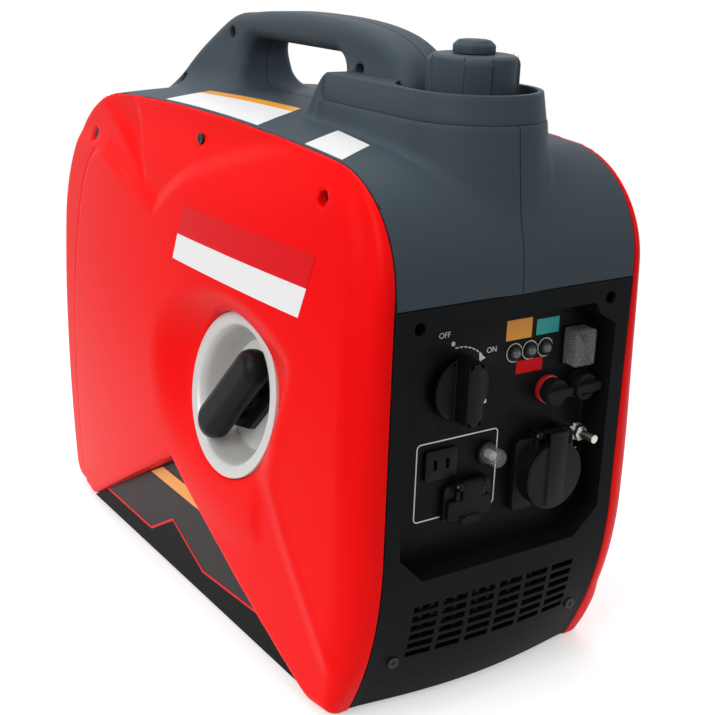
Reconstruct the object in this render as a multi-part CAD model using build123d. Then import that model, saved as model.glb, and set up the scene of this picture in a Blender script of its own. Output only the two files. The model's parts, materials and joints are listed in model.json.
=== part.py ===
from build123d import *
import os
from math import asin, cos, degrees, radians, sin

# Portable inverter generator of the suitcase type, in millimetres.
# +X is the right side as the control panel is faced, -Y is the control panel end, +Z is up.
# The origin is on the ground, under the middle of the body.

# Overall body
BODY_LENGTH = 500.0
CORE_WIDTH = 196.0
BODY_TOP = 383.0
TOP_CROWN = 14.0
FOOT_HEIGHT = 3.5
WALL = 3.0
FLANGE_WIDTH = 28.0
FRONT_TOP_RADIUS = 72.0
REAR_TOP_RADIUS = 120.0
FRONT_SWEEP_HEIGHT = 131.0
FRONT_SWEEP = 34.0
FRONT_LOW_RADIUS = 7.0
REAR_LOW_RADIUS = 18.0
COVER_SEAM = 295.0
BASE_SEAM_MARGIN = 1.0
PLAY = 0.3
RUNNING_FIT = 0.05
PIN_RADIUS = 1.5

# Side panels
PANEL_BULGE = 33.0
PANEL_BARREL_RADIUS = 1150.0
PANEL_WIDEST_HEIGHT = 170.0
PANEL_PLAN_RADIUS = 2400.0
PANEL_WIDEST_PLACE = -30.0
PANEL_BEVEL_HEIGHT = 301.0
PANEL_BEVEL_LAND = 2.0
PANEL_WRAP = 26.0
NOTCH_MIDDLE = -8.0
NOTCH_HEIGHT = 123.0
NOTCH_SLOPE = 30.0
SKIRT_STEP = 12.0
SKIRT_GAP = 1.5
PANEL_SCREW_INSET = 19.0
PANEL_SCREW_MIDDLE = -10.0
PANEL_SCREW_REAR_ANGLE = 60.0
PANEL_SCREW_FRONT_ANGLE = 97.0
PANEL_BOSS_RADIUS = 7.0
PANEL_BOSS_FLOOR = 4.0

# Fasteners
SCREW_HEAD_RADIUS = 4.0
SCREW_HEAD_HEIGHT = 2.6
SCREW_RADIUS = 2.0
SCREW_LENGTH = 12.0
SCREW_RECESS = 0.6
SCREW_CROSS = 5.2

# Handle and upper cover
HANDLE_WIDTH = 44.0
HANDLE_TOP = 451.0
HANDLE_REAR_ARCH = ((100.0, 37.0), (145.0, 10.5), (180.0, 4.5), (230.0, 1.0))
HANDLE_FRONT_ARCH = ((142.0, 1.0), (95.0, 5.0), (65.0, 13.0), (46.0, 26.0))
HANDLE_REAR_SETBACK = 38.0
HANDLE_CAP_MARGIN = 36.0
HANDLE_ROOT = 7.5
HANDLE_ROOT_DEPTH = 40.0
HANDLE_ROUNDING = 8.0
HANDLE_LEG = 81.0
HANDLE_GAP_SETBACK = 174.0
HANDLE_GRIP_DEPTH = 24.0
HANDLE_GAP_RADIUS = 18.0
HANDLE_REAR_SCREWS = ((155.0, 429.0), (91.0, 386.0))
HANDLE_FRONT_SCREW = (96.0, 418.0)
HANDLE_BOSS_RADIUS = 7.5
HANDLE_SCREW_SINK = 7.0

# Fuel cap, neck and collar
CAP_SETBACK = 63.0
NECK_TOP = 399.0
NECK_TOP_RADIUS = 49.6
NECK_FRONT_MARGIN = 0.5
NECK_SPAN = 140.0
COLLAR_HEIGHT = 18.0
COLLAR_RADIUS = 49.0
COLLAR_DRAFT = 3.0
COLLAR_LIP = 4.0
COLLAR_REACH = 103.0
COLLAR_ROOM = 12.0
COLLAR_HOLE = 27.0
CAP_RADIUS = 30.0
CAP_HEIGHT = 33.0
CAP_ROUNDING = 6.0
CAP_RIBS = 4
CAP_RIB_WIDTH = 18.0
CAP_RIB_HEIGHT = 1.2
CAP_RIB_TURN = -32.0
CAP_FOOT_GAP = 3.0
FILLER_RADIUS = 22.0
FILLER_WALL = 2.5
GASKET_HEIGHT = 2.0
VENT_ACROSS = 26.0
VENT_HEIGHT = 8.5
VENT_CHAMFER = 3.5
VENT_STEM_RADIUS = 4.0

# Front bezel, recess and grille
RECESS_DEPTH = 20.0
RECESS_TOP = 281.0
RECESS_BOTTOM = 109.0
RECESS_HALF_WIDTH = 86.0
RECESS_TOP_HALF = 66.0
RECESS_LOW_HALF = 66.0
RECESS_STEP_HIGH = 273.0
RECESS_STEP_LOW = 264.0
RECESS_CLIP_HEIGHT = 129.0
RECESS_STEP_HALF = 71.0
PLATE_THICKNESS = 2.5
BEZEL_SCREW_HALF = 79.0
BEZEL_SCREW_HIGH = 283.0
BEZEL_SCREW_LOW = 47.0
BEZEL_BOSS_RADIUS = 7.5
BEZEL_BOSS_DEPTH = 19.0
BEZEL_SCREW_SINK = 13.0
GRILLE_COLUMNS = 6
GRILLE_ROWS = 6
GRILLE_SLOT_WIDTH = 20.0
GRILLE_SLOT_HEIGHT = 4.6
GRILLE_PITCH_X = 24.0
GRILLE_PITCH_Z = 7.4
GRILLE_MIDDLE = 69.0
GRILLE_CUT = 36.0

# Engine switch
SWITCH_X = -32.0
SWITCH_Z = 232.0
KNOB_RADIUS = 22.0
KNOB_SKIRT = 7.0
KNOB_BAR_WIDTH = 13.0
KNOB_BAR_HEIGHT = 13.0
KNOB_SHAFT_RADIUS = 5.0
KNOB_CHAMFER = 0.9
SWITCH_BODY_SIZE = 36.0
SWITCH_BODY_DEPTH = 18.0

# Indicator lamps
LAMP_X = 15.0
LAMP_Z = 248.0
LAMP_PITCH = 13.5
LAMP_COUNT = 3
LAMP_RADIUS = 3.8
LAMP_RING_RADIUS = 5.8
LAMP_RING_HEIGHT = 1.4
LAMP_DEPTH = 12.0

# Economy rocker switch
ROCKER_X = 67.0
ROCKER_Z = 247.0
ROCKER_FLANGE_WIDTH = 20.0
ROCKER_FLANGE_HEIGHT = 27.0
ROCKER_FLANGE = 2.0
ROCKER_WIDTH = 11.0
ROCKER_LENGTH = 17.0
ROCKER_TILT = 8.0
ROCKER_DEPTH = 14.0
BOOT_HEIGHT = 12.0
BOOT_WALL = 1.0

# Parallel sockets
PARALLEL_XS = (46.0, 72.5)
PARALLEL_Z = 218.0
PARALLEL_FLANGE_RADIUS = 10.0
PARALLEL_FLANGE = 4.0
PARALLEL_COLLAR_RADIUS = 7.0
PARALLEL_COLLAR = 6.0
PARALLEL_BORE = 2.05
PARALLEL_DEPTH = 16.0
PARALLEL_CAP_WALL = 2.0

# Mains outlet
OUTLET_X = 44.0
OUTLET_Z = 160.0
OUTLET_SIZE = 52.0
OUTLET_FLANGE = 6.0
OUTLET_COLLAR_RADIUS = 23.5
OUTLET_COLLAR = 8.0
OUTLET_WELL_RADIUS = 20.2
OUTLET_WELL_DEPTH = 17.5
OUTLET_BODY_RADIUS = 22.0
OUTLET_BODY_DEPTH = 22.0
OUTLET_PIN_RADIUS = 2.5
OUTLET_PIN_HALF_SPACING = 9.5
LID_RADIUS = 24.5
LID_THICKNESS = 4.5
LID_BAND_WIDTH = 16.0
LID_BAND = 1.6
LID_HINGE_UP = 29.0
LID_HINGE_OUT = 11.0
HINGE_BARREL_RADIUS = 3.4
HINGE_EAR = 4.0
HINGE_SIDE_GAP = 0.4

# Low-voltage outlet, breaker and charging port
LOW_OUTLET_X = -43.0
LOW_OUTLET_Z = 181.0
LOW_OUTLET_WIDTH = 26.0
LOW_OUTLET_HEIGHT = 21.0
LOW_OUTLET_FLANGE = 3.0
LOW_OUTLET_DEPTH = 15.0
LOW_SLOT_WIDTH = 2.2
LOW_SLOT_HEIGHT = 7.0
LOW_SLOT_SPACING = 10.0
BREAKER_X = -4.0
BREAKER_Z = 181.0
BREAKER_FLANGE_RADIUS = 8.0
BREAKER_FLANGE = 2.5
BREAKER_DEPTH = 18.0
BREAKER_BUTTON_RADIUS = 3.2
BREAKER_BUTTON_OUT = 6.0
BREAKER_TRAVEL = 3.0
BREAKER_BOOT_RADIUS = 6.6
BREAKER_BOOT_LENGTH = 14.0
PORT_X = -20.0
PORT_Z = 151.0
PORT_WIDTH = 40.0
PORT_HEIGHT = 26.0
PORT_FRAME = 4.0
PORT_DEPTH = 14.0
PORT_HOLE_WIDTH = 13.0
PORT_HOLE_HEIGHT = 6.0
PORT_HOLE_SPACING = 17.0
FLAP_THICKNESS = 3.0
FLAP_MARGIN = 1.0
FLAP_LIFT = 2.0
FLAP_HINGE_OUT = 7.5

# Earth stud
EARTH_X = 77.0
EARTH_Z = 181.0
EARTH_RADIUS = 3.0
EARTH_ROOT_RADIUS = 3.5
EARTH_OUT = 20.0
EARTH_NUT_ACROSS = 10.0
EARTH_NUT = 5.0
EARTH_WASHER_RADIUS = 6.5
EARTH_WASHER = 1.2

# Recoil starter and crank line
CRANK_Y = -90.0
CRANK_Z = 197.0
DISH_X = -121.0
DISH_TILT = 10.0
DISH_RADIUS = 59.0
DISH_LANDING = 20.0
DISH_RIM = 8.0
DISH_SKIRT = 14.0
DISH_DEPTH = 23.0
DISH_FLOOR_RADIUS = 40.0
DISH_WALL = 2.0
DISH_HOLE_WALL = 3.6
DISH_CENTRE_HOLE = 12.0
GUIDE_LENGTH = 76.0
GUIDE_WIDTH = 34.0
GUIDE_PLATE = 5.0
GUIDE_BOSS_RADIUS = 9.0
GUIDE_BOSS = 5.0
GUIDE_SCREW_SPACING = 50.0
ROPE_RADIUS = 2.0
ROPE_HOLE = 2.6
GRIP_TURN = 52.0
GRIP_LENGTH = 90.0
GRIP_WIDTH = 28.0
GRIP_THICKNESS = 20.5
GRIP_ROUNDING = 9.0
GRIP_STEM_RADIUS = 7.0
GRIP_OUT = 9.0
HOUSING_FRONT = -88.0
HOUSING_BACK = -66.0
HOUSING_RADIUS = 68.0
HOUSING_BOSS_RADIUS = 26.0
REEL_RADIUS = 38.0
REEL_GROOVE_RADIUS = 32.0
REEL_WIDTH = 12.0
REEL_POST_RADIUS = 6.0
FLYWHEEL_RADIUS = 64.0
FLYWHEEL_FRONT = -64.0
FLYWHEEL_BACK = -26.0
FLYWHEEL_DISC = 8.0
FLYWHEEL_RIM = 10.0
FAN_BLADES = 12
FAN_BLADE_HEIGHT = 1.6
STATOR_RADIUS = 48.0
STATOR_BORE = 14.0

# Engine
CASE_LEFT = -22.0
CASE_RIGHT = 62.0
CASE_HALF_LENGTH = 58.0
CASE_LOW = 70.0
CASE_HIGH = 258.0
CASE_WALL = 6.0
CRANK_RADIUS = 10.0
CRANK_END = 70.0
CRANK_NECK_RADIUS = 6.0
WEB_RADIUS = 32.0
WEB_THICKNESS = 8.0
WEB_GAP = 14.0
CRANK_THROW = 20.0
ROD_LENGTH = 75.0
ROD_THICKNESS = 10.0
ROD_END_RADIUS = 11.0
ROD_PIN_RADIUS = 6.0
BORE_RADIUS = 20.0
PISTON_LENGTH = 32.0
CYLINDER_RADIUS = 27.0
CYLINDER_LENGTH = 82.0
FIN_SIZE = 84.0
FIN_THICKNESS = 3.0
FIN_COUNT = 7
HEAD_LENGTH = 26.0
HEAD_SIZE = 74.0
ROCKER_COVER_LENGTH = 18.0
ROCKER_COVER_SIZE = 60.0
MOUNT_RADIUS = 13.0
MOUNT_WAIST = 9.0
PLUG_RADIUS = 7.0
PLUG_LENGTH = 48.0
PLUG_OFFSET = 24.0
COIL_SIZE = 28.0
COIL_HEIGHT = 34.0
COIL_LENGTH = 16.0
COIL_AIR_GAP = 1.0
CARBURETTOR_OFFSET = -22.0
CARBURETTOR_RADIUS = 15.0
CARBURETTOR_LENGTH = 52.0
BOWL_RADIUS = 12.5
BOWL_DEPTH = 22.0
FILTER_LENGTH = 86.0
FILTER_WIDTH = 110.0
FILTER_HEIGHT = 66.0
FILTER_ROUNDING = 8.0
OIL_CAP_RADIUS = 13.0
OIL_CAP_HEIGHT = 12.0
OIL_CAP_Z = 110.0

# Fuel tank, inverter, muffler and rear end
TANK_CLEARANCE = 6.0
TANK_LOW = 298.0
TANK_REAR = -20.0
TANK_WALL = 2.0
INVERTER_WIDTH = 150.0
INVERTER_HEIGHT = 70.0
INVERTER_DEPTH = 36.0
INVERTER_GAP = 12.0
INVERTER_FIN_PITCH = 10.0
INVERTER_FIN_DEPTH = 14.0
INVERTER_FIN_GAP = 6.0
MUFFLER_LENGTH = 84.0
MUFFLER_WIDTH = 130.0
MUFFLER_HEIGHT = 120.0
MUFFLER_ROUNDING = 22.0
MUFFLER_LOW = 95.0
MUFFLER_REAR_GAP = 24.0
SHEET = 2.0
OUTLET_PIPE_X = 36.0
OUTLET_PIPE_Z = 150.0
OUTLET_PIPE_RADIUS = 18.0
OUTLET_PIPE_WALL = 2.0
OUTLET_PIPE_PROUD = 1.0
OUTLET_GUARD_RADIUS = 30.0
OUTLET_GUARD = 3.0
ARRESTOR_HOLE = 1.8
ARRESTOR_RINGS = ((6, 6.0), (12, 11.5))
LOUVRE_COUNT = 9
LOUVRE_WIDTH = 64.0
LOUVRE_HEIGHT = 5.0
LOUVRE_PITCH = 11.0
LOUVRE_LOW = 90.0
LOUVRE_X = -45.0
REAR_SCREW_HALF = 79.0
REAR_SCREW_HEIGHTS = (60.0, 270.0)

# Base and feet
FOOT_RADIUS = 15.0
FOOT_CHAMFER = 1.2
FOOT_HALF_X = 72.0
FOOT_FRONT = -155.0
FOOT_REAR = 165.0
BASE_BOSS_RADIUS = 15.0
MOUNT_HALF_X = 28.0
MOUNT_HALF_Y = 44.0

# Values worked out from the sizes above
HALF_LENGTH = BODY_LENGTH / 2
CAP_PLACE = CAP_SETBACK - HALF_LENGTH
HANDLE_REAR_FOOT = HALF_LENGTH - HANDLE_REAR_SETBACK
HANDLE_FRONT_FOOT = CAP_PLACE + HANDLE_CAP_MARGIN
HANDLE_GAP_FRONT = HANDLE_FRONT_FOOT + HANDLE_LEG
HANDLE_GAP_REAR = HALF_LENGTH - HANDLE_GAP_SETBACK
COLLAR_REAR = CAP_PLACE + COLLAR_REACH
BASE_SEAM = FOOT_HEIGHT + WALL + FLANGE_WIDTH + BASE_SEAM_MARGIN
SEAM_X = CORE_WIDTH / 2
PANEL_REACH = SEAM_X + PANEL_BULGE
BODY_SHOULDER = BODY_TOP - TOP_CROWN
PLATE_FACE = -HALF_LENGTH + RECESS_DEPTH
PLATE_BACK = PLATE_FACE + PLATE_THICKNESS
NECK_LOW_RADIUS = CAP_SETBACK - NECK_FRONT_MARGIN
COLLAR_FLOOR = NECK_TOP + WALL
COLLAR_RIM = NECK_TOP + COLLAR_HEIGHT
CAP_FOOT = COLLAR_FLOOR + CAP_FOOT_GAP
CAP_TOP = CAP_FOOT + CAP_HEIGHT
CRANK_X = (CASE_LEFT + CASE_RIGHT) / 2
FRONT_SWEEP_RISE = FRONT_SWEEP_HEIGHT - FOOT_HEIGHT
FRONT_SWEEP_RADIUS = (FRONT_SWEEP ** 2 + FRONT_SWEEP_RISE ** 2) / (2 * FRONT_SWEEP)
CASE_REAR = CRANK_Y + CASE_HALF_LENGTH
HEAD_REAR = CASE_REAR + CYLINDER_LENGTH + HEAD_LENGTH
BIG = 4 * BODY_LENGTH


def side_prism(face, x_from, x_to):
    """An outline in Y and Z, made solid from one X to another."""
    return extrude(Plane.YZ.offset(x_from) * face, amount=x_to - x_from)


def front_prism(face, y_from, y_to):
    """An outline in X and Z, made solid from a back Y to a front Y."""
    plane = Plane(origin=(0, y_from, 0), x_dir=(1, 0, 0), z_dir=(0, -1, 0))
    return extrude(plane * face, amount=y_from - y_to)


def span_box(x_low, x_high, y_low, y_high, z_low, z_high):
    """A box from its lowest to its highest corner."""
    centre = Pos((x_low + x_high) / 2, (y_low + y_high) / 2, (z_low + z_high) / 2)
    return centre * Box(x_high - x_low, y_high - y_low, z_high - z_low)


def disc(radius, low, high):
    """A round piece on the local Z axis."""
    return Pos(0, 0, (low + high) / 2) * Cylinder(radius, high - low)


def block(width, height, low, high):
    """A square-edged piece on the local Z axis."""
    return Pos(0, 0, (low + high) / 2) * Box(width, height, high - low)


def rounded_block(width, height, corner, low, high):
    """A piece with round corners on the local Z axis."""
    return extrude(Plane.XY.offset(low) * RectangleRounded(width, height, corner), amount=high - low)


def along_x(radius, x_from, x_to, y, z):
    """A round bar along X."""
    return Pos((x_from + x_to) / 2, y, z) * Rot(0, 90, 0) * Cylinder(radius, x_to - x_from)


def along_y(radius, y_from, y_to, x, z):
    """A round bar along Y."""
    return Pos(x, (y_from + y_to) / 2, z) * Rot(90, 0, 0) * Cylinder(radius, y_to - y_from)


def upright(radius, z_from, z_to, x, y):
    """A round bar along Z."""
    return Pos(x, y, (z_from + z_to) / 2) * Cylinder(radius, z_to - z_from)


def on_front(x, z, y):
    """A place whose local Z points out of the front, towards -Y."""
    return Plane(origin=(x, y, z), x_dir=(1, 0, 0), z_dir=(0, -1, 0)).location


def on_plate(x, z):
    """A place on the face of the control panel plate."""
    return on_front(x, z, PLATE_FACE)


def dish_place():
    """The middle of the starter dish's rim, local Z out along the pull and local Y up."""
    tilt = radians(DISH_TILT)
    out = (-cos(tilt), 0, sin(tilt))
    return Plane(origin=(DISH_X, CRANK_Y, CRANK_Z), x_dir=(0, -1, 0), z_dir=out).location


def cross_screw():
    """A cross-head screw, seated at local Z = 0 with its head above."""
    recess = Pos(0, 0, SCREW_HEAD_HEIGHT)
    bar = Box(SCREW_CROSS, SCREW_RECESS, SCREW_HEAD_HEIGHT)
    body = disc(SCREW_HEAD_RADIUS, 0, SCREW_HEAD_HEIGHT) + disc(SCREW_RADIUS, -SCREW_LENGTH, 0)
    return body - recess * bar - recess * Rot(0, 0, 90) * bar


def round_corner(face, corner, radius):
    """One corner of a flat outline, rounded, or left sharp where a wall uses the radius up."""
    if radius <= 0:
        return face
    return fillet(face.vertices().sort_by_distance(corner)[0], radius)


def core_outline(inset=0.0):
    """The body's outline from the side, moved in by a wall."""
    front = -HALF_LENGTH + inset
    rear = HALF_LENGTH - inset
    low = FOOT_HEIGHT + inset
    crown = BODY_TOP - inset
    shoulder = BODY_SHOULDER - inset
    reach = FRONT_SWEEP_RADIUS - inset
    turn = asin((FRONT_SWEEP_HEIGHT - low) / reach)
    toe = front + reach * (1 - cos(turn))
    knee = (front + reach * (1 - cos(turn / 2)), FRONT_SWEEP_HEIGHT - reach * sin(turn / 2))
    edges = [
        ThreePointArc((toe, low), knee, (front, FRONT_SWEEP_HEIGHT)),
        Line((front, FRONT_SWEEP_HEIGHT), (front, shoulder)),
        ThreePointArc((front, shoulder), (0, crown), (rear, shoulder)),
        Line((rear, shoulder), (rear, low)),
        Line((rear, low), (toe, low)),
    ]
    face = make_face(edges)
    face = round_corner(face, (front, shoulder), FRONT_TOP_RADIUS - inset)
    face = round_corner(face, (rear, shoulder), REAR_TOP_RADIUS - inset)
    face = round_corner(face, (rear, low), REAR_LOW_RADIUS - inset)
    return round_corner(face, (toe, low), FRONT_LOW_RADIUS - inset)


def notch_outline(grow=0.0):
    """The chevron between a side panel's two legs, made larger by grow on its slopes."""
    slope = radians(NOTCH_SLOPE)
    top = NOTCH_HEIGHT + grow / cos(slope)
    half = top * cos(slope) / sin(slope)
    ground = [(NOTCH_MIDDLE - half, 0), (NOTCH_MIDDLE, top), (NOTCH_MIDDLE + half, 0)]
    return make_face(Polyline(*ground, close=True))


def panel_barrel(inset):
    """The sweep of a side panel's face: an upright arc carried round a far upright axis."""
    far = PANEL_REACH - PANEL_PLAN_RADIUS
    centre = Pos(PANEL_REACH - PANEL_BARREL_RADIUS, PANEL_WIDEST_HEIGHT)
    arc = centre * Circle(PANEL_BARREL_RADIUS - inset)
    near = Pos(PANEL_REACH, PANEL_WIDEST_HEIGHT) * Rectangle(2 * PANEL_REACH, 2 * BODY_TOP)
    axis = Axis((far, PANEL_WIDEST_PLACE, 0), (0, 0, 1))
    half = degrees(2 * HALF_LENGTH / PANEL_PLAN_RADIUS)
    start = (Plane.XZ.offset(-PANEL_WIDEST_PLACE) * (arc & near)).rotate(axis, -half)
    return revolve(start, axis, 2 * half)


def panel_bevel(inset):
    """The room under a side panel's upper bevel, which leans in to the seam at the crown."""
    low = PANEL_REACH - inset
    high = SEAM_X + PANEL_BEVEL_LAND - inset
    lean = (low - high) / (BODY_TOP - PANEL_BEVEL_HEIGHT)
    top = PANEL_BEVEL_HEIGHT + low / lean
    outline = [(0, 0), (low, 0), (low, PANEL_BEVEL_HEIGHT), (0, top)]
    return front_prism(make_face(Polyline(*outline, close=True)), BODY_LENGTH, -BODY_LENGTH)


def panel_block(inset, x_from):
    """A side panel's outer form as a solid, on the +X side, moved in by a wall."""
    outline = core_outline(inset) - notch_outline(inset)
    prism = side_prism(outline, x_from, PANEL_REACH + WALL)
    plan = RectangleRounded(2 * (PANEL_REACH - inset), BODY_LENGTH - 2 * inset, PANEL_WRAP - inset)
    return prism & panel_barrel(inset) & panel_bevel(inset) & extrude(plan, amount=BODY_LENGTH)


def panel_screw_places():
    """Y and Z of a side panel's screws, on the flange behind its top edge."""
    rear = radians(PANEL_SCREW_REAR_ANGLE)
    front = radians(PANEL_SCREW_FRONT_ANGLE)
    rear_arm = REAR_TOP_RADIUS - PANEL_SCREW_INSET
    front_arm = FRONT_TOP_RADIUS - PANEL_SCREW_INSET
    return [
        (HALF_LENGTH - REAR_TOP_RADIUS + rear_arm * cos(rear), BODY_SHOULDER + TOP_CROWN / 4
         - REAR_TOP_RADIUS + rear_arm * sin(rear)),
        (PANEL_SCREW_MIDDLE, BODY_TOP - PANEL_SCREW_INSET),
        (-HALF_LENGTH + FRONT_TOP_RADIUS + front_arm * cos(front), BODY_SHOULDER + TOP_CROWN / 4
         - FRONT_TOP_RADIUS + front_arm * sin(front)),
    ]


def panel_shell(outer, inner):
    """A side panel of the +X side between its outer and inner forms, with its screw bosses."""
    room = inner
    for y, z in panel_screw_places():
        room -= along_x(PANEL_BOSS_RADIUS, SEAM_X, PANEL_REACH, y, z)
    shell = outer - room
    for y, z in panel_screw_places():
        hole = along_x(SCREW_HEAD_RADIUS + PLAY, SEAM_X + PANEL_BOSS_FLOOR, PANEL_REACH, y, z)
        shell -= hole + along_x(SCREW_RADIUS + PLAY, SEAM_X - WALL, PANEL_REACH, y, z)
    return shell


def side_panel():
    """The plain red side panel of the +X side."""
    return panel_shell(panel_block(0, SEAM_X), panel_block(WALL, SEAM_X - WALL))


def dish_mirrored(radius, low, high):
    """A round piece on the starter dish's axis, mirrored to the +X side."""
    return mirror(dish_place() * disc(radius, low, high), about=Plane.YZ)


def left_panel():
    """The red panel of the -X side, with a flat landing and a walled hole for the starter dish."""
    landing = DISH_RADIUS + DISH_LANDING
    outer = panel_block(0, SEAM_X) - dish_mirrored(landing, 0, PANEL_REACH)
    inner = panel_block(WALL, SEAM_X - WALL) - dish_mirrored(landing + WALL, -WALL, PANEL_REACH)
    shell = panel_shell(outer, inner)
    shell += outer & dish_mirrored(DISH_RADIUS + PLAY + DISH_HOLE_WALL, -DISH_SKIRT, -WALL / 2)
    shell -= dish_mirrored(DISH_RADIUS + PLAY, -PANEL_REACH, PANEL_REACH)
    return mirror(shell, about=Plane.YZ)


def panel_screws():
    """The screws of both side panels."""
    seat = SEAM_X + PANEL_BOSS_FLOOR
    right = [Pos(seat, y, z) * Rot(0, 90, 0) * cross_screw() for y, z in panel_screw_places()]
    left = [Pos(-seat, y, z) * Rot(0, -90, 0) * cross_screw() for y, z in panel_screw_places()]
    return right + left


def handle_outline(inset=0.0):
    """The carrying handle's outer arch from the side, closed inside the body, moved in by a wall."""
    body = BODY_TOP - HANDLE_ROOT
    deep = body - HANDLE_ROOT_DEPTH
    points = [Vector(HANDLE_REAR_FOOT, deep)]
    points += [Vector(HALF_LENGTH - back, HANDLE_TOP - drop) for back, drop in HANDLE_REAR_ARCH]
    points += [Vector(CAP_PLACE + behind, HANDLE_TOP - drop) for behind, drop in HANDLE_FRONT_ARCH]
    points.append(Vector(HANDLE_FRONT_FOOT, body))
    middle = Vector((HANDLE_GAP_FRONT + HANDLE_GAP_REAR) / 2, deep)
    points = [point + (middle - point).normalized() * inset for point in points]
    arch = Spline(*points)
    first = points[0]
    last = points[-1]
    floor = Polyline(last, (last.X, first.Y), first)
    return make_face([arch, floor])


def handle_screw_places():
    """Y and Z of the handle's screws."""
    behind, height = HANDLE_FRONT_SCREW
    return [(HALF_LENGTH - back, z) for back, z in HANDLE_REAR_SCREWS] + [(CAP_PLACE + behind, height)]


def handle_gap(grow=0.0):
    """The finger gap under the grip, made larger by grow."""
    low = BODY_SHOULDER - grow
    high = HANDLE_TOP - HANDLE_GRIP_DEPTH + grow
    length = HANDLE_GAP_REAR - HANDLE_GAP_FRONT + 2 * grow
    middle = (HANDLE_GAP_REAR + HANDLE_GAP_FRONT) / 2
    return Pos(middle, (low + high) / 2) * RectangleRounded(length, high - low, HANDLE_GAP_RADIUS)


def handle_solid():
    """The outer form of the handle, its long edges rounded."""
    arch = side_prism(handle_outline() - handle_gap(), -HANDLE_WIDTH / 2, HANDLE_WIDTH / 2)
    sides = arch.faces().sort_by(Axis.X)
    edges = sides[0].edges() + sides[-1].edges()
    return fillet(edges, HANDLE_ROUNDING)


def handle_hollow():
    """The space inside the handle's two halves."""
    half = HANDLE_WIDTH / 2 - WALL
    inset = WALL + HANDLE_ROUNDING / 3
    return side_prism(handle_outline(inset) - handle_gap(inset), -half, half)


def neck_solid(inset=0.0):
    """The raised neck from the handle's leg to the fuel cap, flush with the front face at the seam."""
    low_radius = NECK_LOW_RADIUS - inset
    high_radius = NECK_TOP_RADIUS - inset
    middle = CAP_PLACE + NECK_SPAN / 2
    slots = []
    for radius, z in ((low_radius, COVER_SEAM), (high_radius, NECK_TOP - inset)):
        slot = Rot(0, 0, 90) * SlotCenterToCenter(NECK_SPAN, 2 * radius)
        slots.append(Pos(0, middle, z) * slot)
    return loft(slots, ruled=True) & span_box(-BIG, BIG, -BIG, COLLAR_REAR - inset, 0, BIG)


def body_band():
    """The dark body as one hollow band with side flanges, before it is cut into covers."""
    outer = side_prism(core_outline(), -SEAM_X, SEAM_X)
    inner = side_prism(core_outline(WALL), WALL - SEAM_X, SEAM_X - WALL)
    mouth = side_prism(core_outline(WALL + FLANGE_WIDTH), -BIG, BIG)
    band = outer - inner - mouth
    for y, z in panel_screw_places():
        band -= along_x(SCREW_RADIUS + PLAY, -PANEL_REACH, PANEL_REACH, y, z)
    return band


def upper_cover(band):
    """The upper cover with its neck and handle, whole."""
    top = span_box(-BIG, BIG, -BIG, BIG, COVER_SEAM, BIG)
    inner = side_prism(core_outline(WALL), WALL - SEAM_X, SEAM_X - WALL)
    hollow = handle_hollow()
    for y, z in handle_screw_places():
        hollow -= along_x(HANDLE_BOSS_RADIUS, -HANDLE_WIDTH / 2, HANDLE_WIDTH / 2, y, z)
    cover = (band & top) + (neck_solid() - inner) + (handle_solid() - inner)
    cover = cover - (neck_solid(WALL) & top) - hollow
    for y, z in handle_screw_places():
        seat = HANDLE_SCREW_SINK - HANDLE_WIDTH / 2
        cover -= along_x(SCREW_HEAD_RADIUS + PLAY, -HANDLE_WIDTH, seat, y, z)
        cover -= along_x(SCREW_RADIUS, -HANDLE_WIDTH, seat + SCREW_LENGTH, y, z)
    return cover - upright(COLLAR_HOLE, COVER_SEAM, COLLAR_RIM, 0, CAP_PLACE)


def handle_screws():
    """The screws that join the two halves of the handle, from the left."""
    seat = HANDLE_SCREW_SINK - HANDLE_WIDTH / 2
    return [Pos(seat, y, z) * Rot(0, -90, 0) * cross_screw() for y, z in handle_screw_places()]


def filler_collar():
    """The saddle round the handle's front leg, with a tray for the fuel cap."""
    rings = []
    for inset, span in ((0, NECK_SPAN), (COLLAR_LIP, COLLAR_ROOM)):
        slots = []
        for shrink, z in ((0, NECK_TOP), (COLLAR_DRAFT, COLLAR_RIM)):
            slot = Rot(0, 0, 90) * SlotCenterToCenter(span, 2 * (COLLAR_RADIUS - shrink - inset))
            slots.append(Pos(0, CAP_PLACE + span / 2, z) * slot)
        rings.append(loft(slots, ruled=True))
    room = rings[1] & span_box(-BIG, BIG, -BIG, BIG, COLLAR_FLOOR, BIG)
    tray = (rings[0] & span_box(-BIG, BIG, -BIG, COLLAR_REAR, 0, BIG)) - room
    tray -= upright(COLLAR_HOLE, NECK_TOP, COLLAR_RIM, 0, CAP_PLACE)
    half = HANDLE_WIDTH / 2 + PLAY
    return tray - span_box(-half, half, CAP_PLACE + CAP_RADIUS, BIG, NECK_TOP, BIG)


def fuel_cap():
    """The fuel cap: a round-topped cup with raised grips and a bore for the vent knob's stem."""
    cup = disc(CAP_RADIUS, CAP_FOOT, CAP_TOP)
    cup = fillet(cup.edges().sort_by(Axis.Z)[-1], CAP_ROUNDING)
    between = disc(CAP_RADIUS + WALL, CAP_FOOT, CAP_TOP)
    between -= disc(CAP_RADIUS - CAP_RIB_HEIGHT, CAP_FOOT, CAP_TOP)
    for number in range(CAP_RIBS):
        rib = Pos(0, -CAP_RADIUS, 0) * block(CAP_RIB_WIDTH, CAP_RADIUS, CAP_FOOT, CAP_TOP)
        between -= Rot(0, 0, CAP_RIB_TURN + number * 360 / CAP_RIBS) * rib
    cup -= between
    cup -= disc(FILLER_RADIUS + WALL, CAP_FOOT, CAP_TOP - WALL)
    cup -= disc(VENT_STEM_RADIUS + RUNNING_FIT, CAP_FOOT, CAP_TOP)
    return Pos(0, CAP_PLACE, 0) * cup


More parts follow.
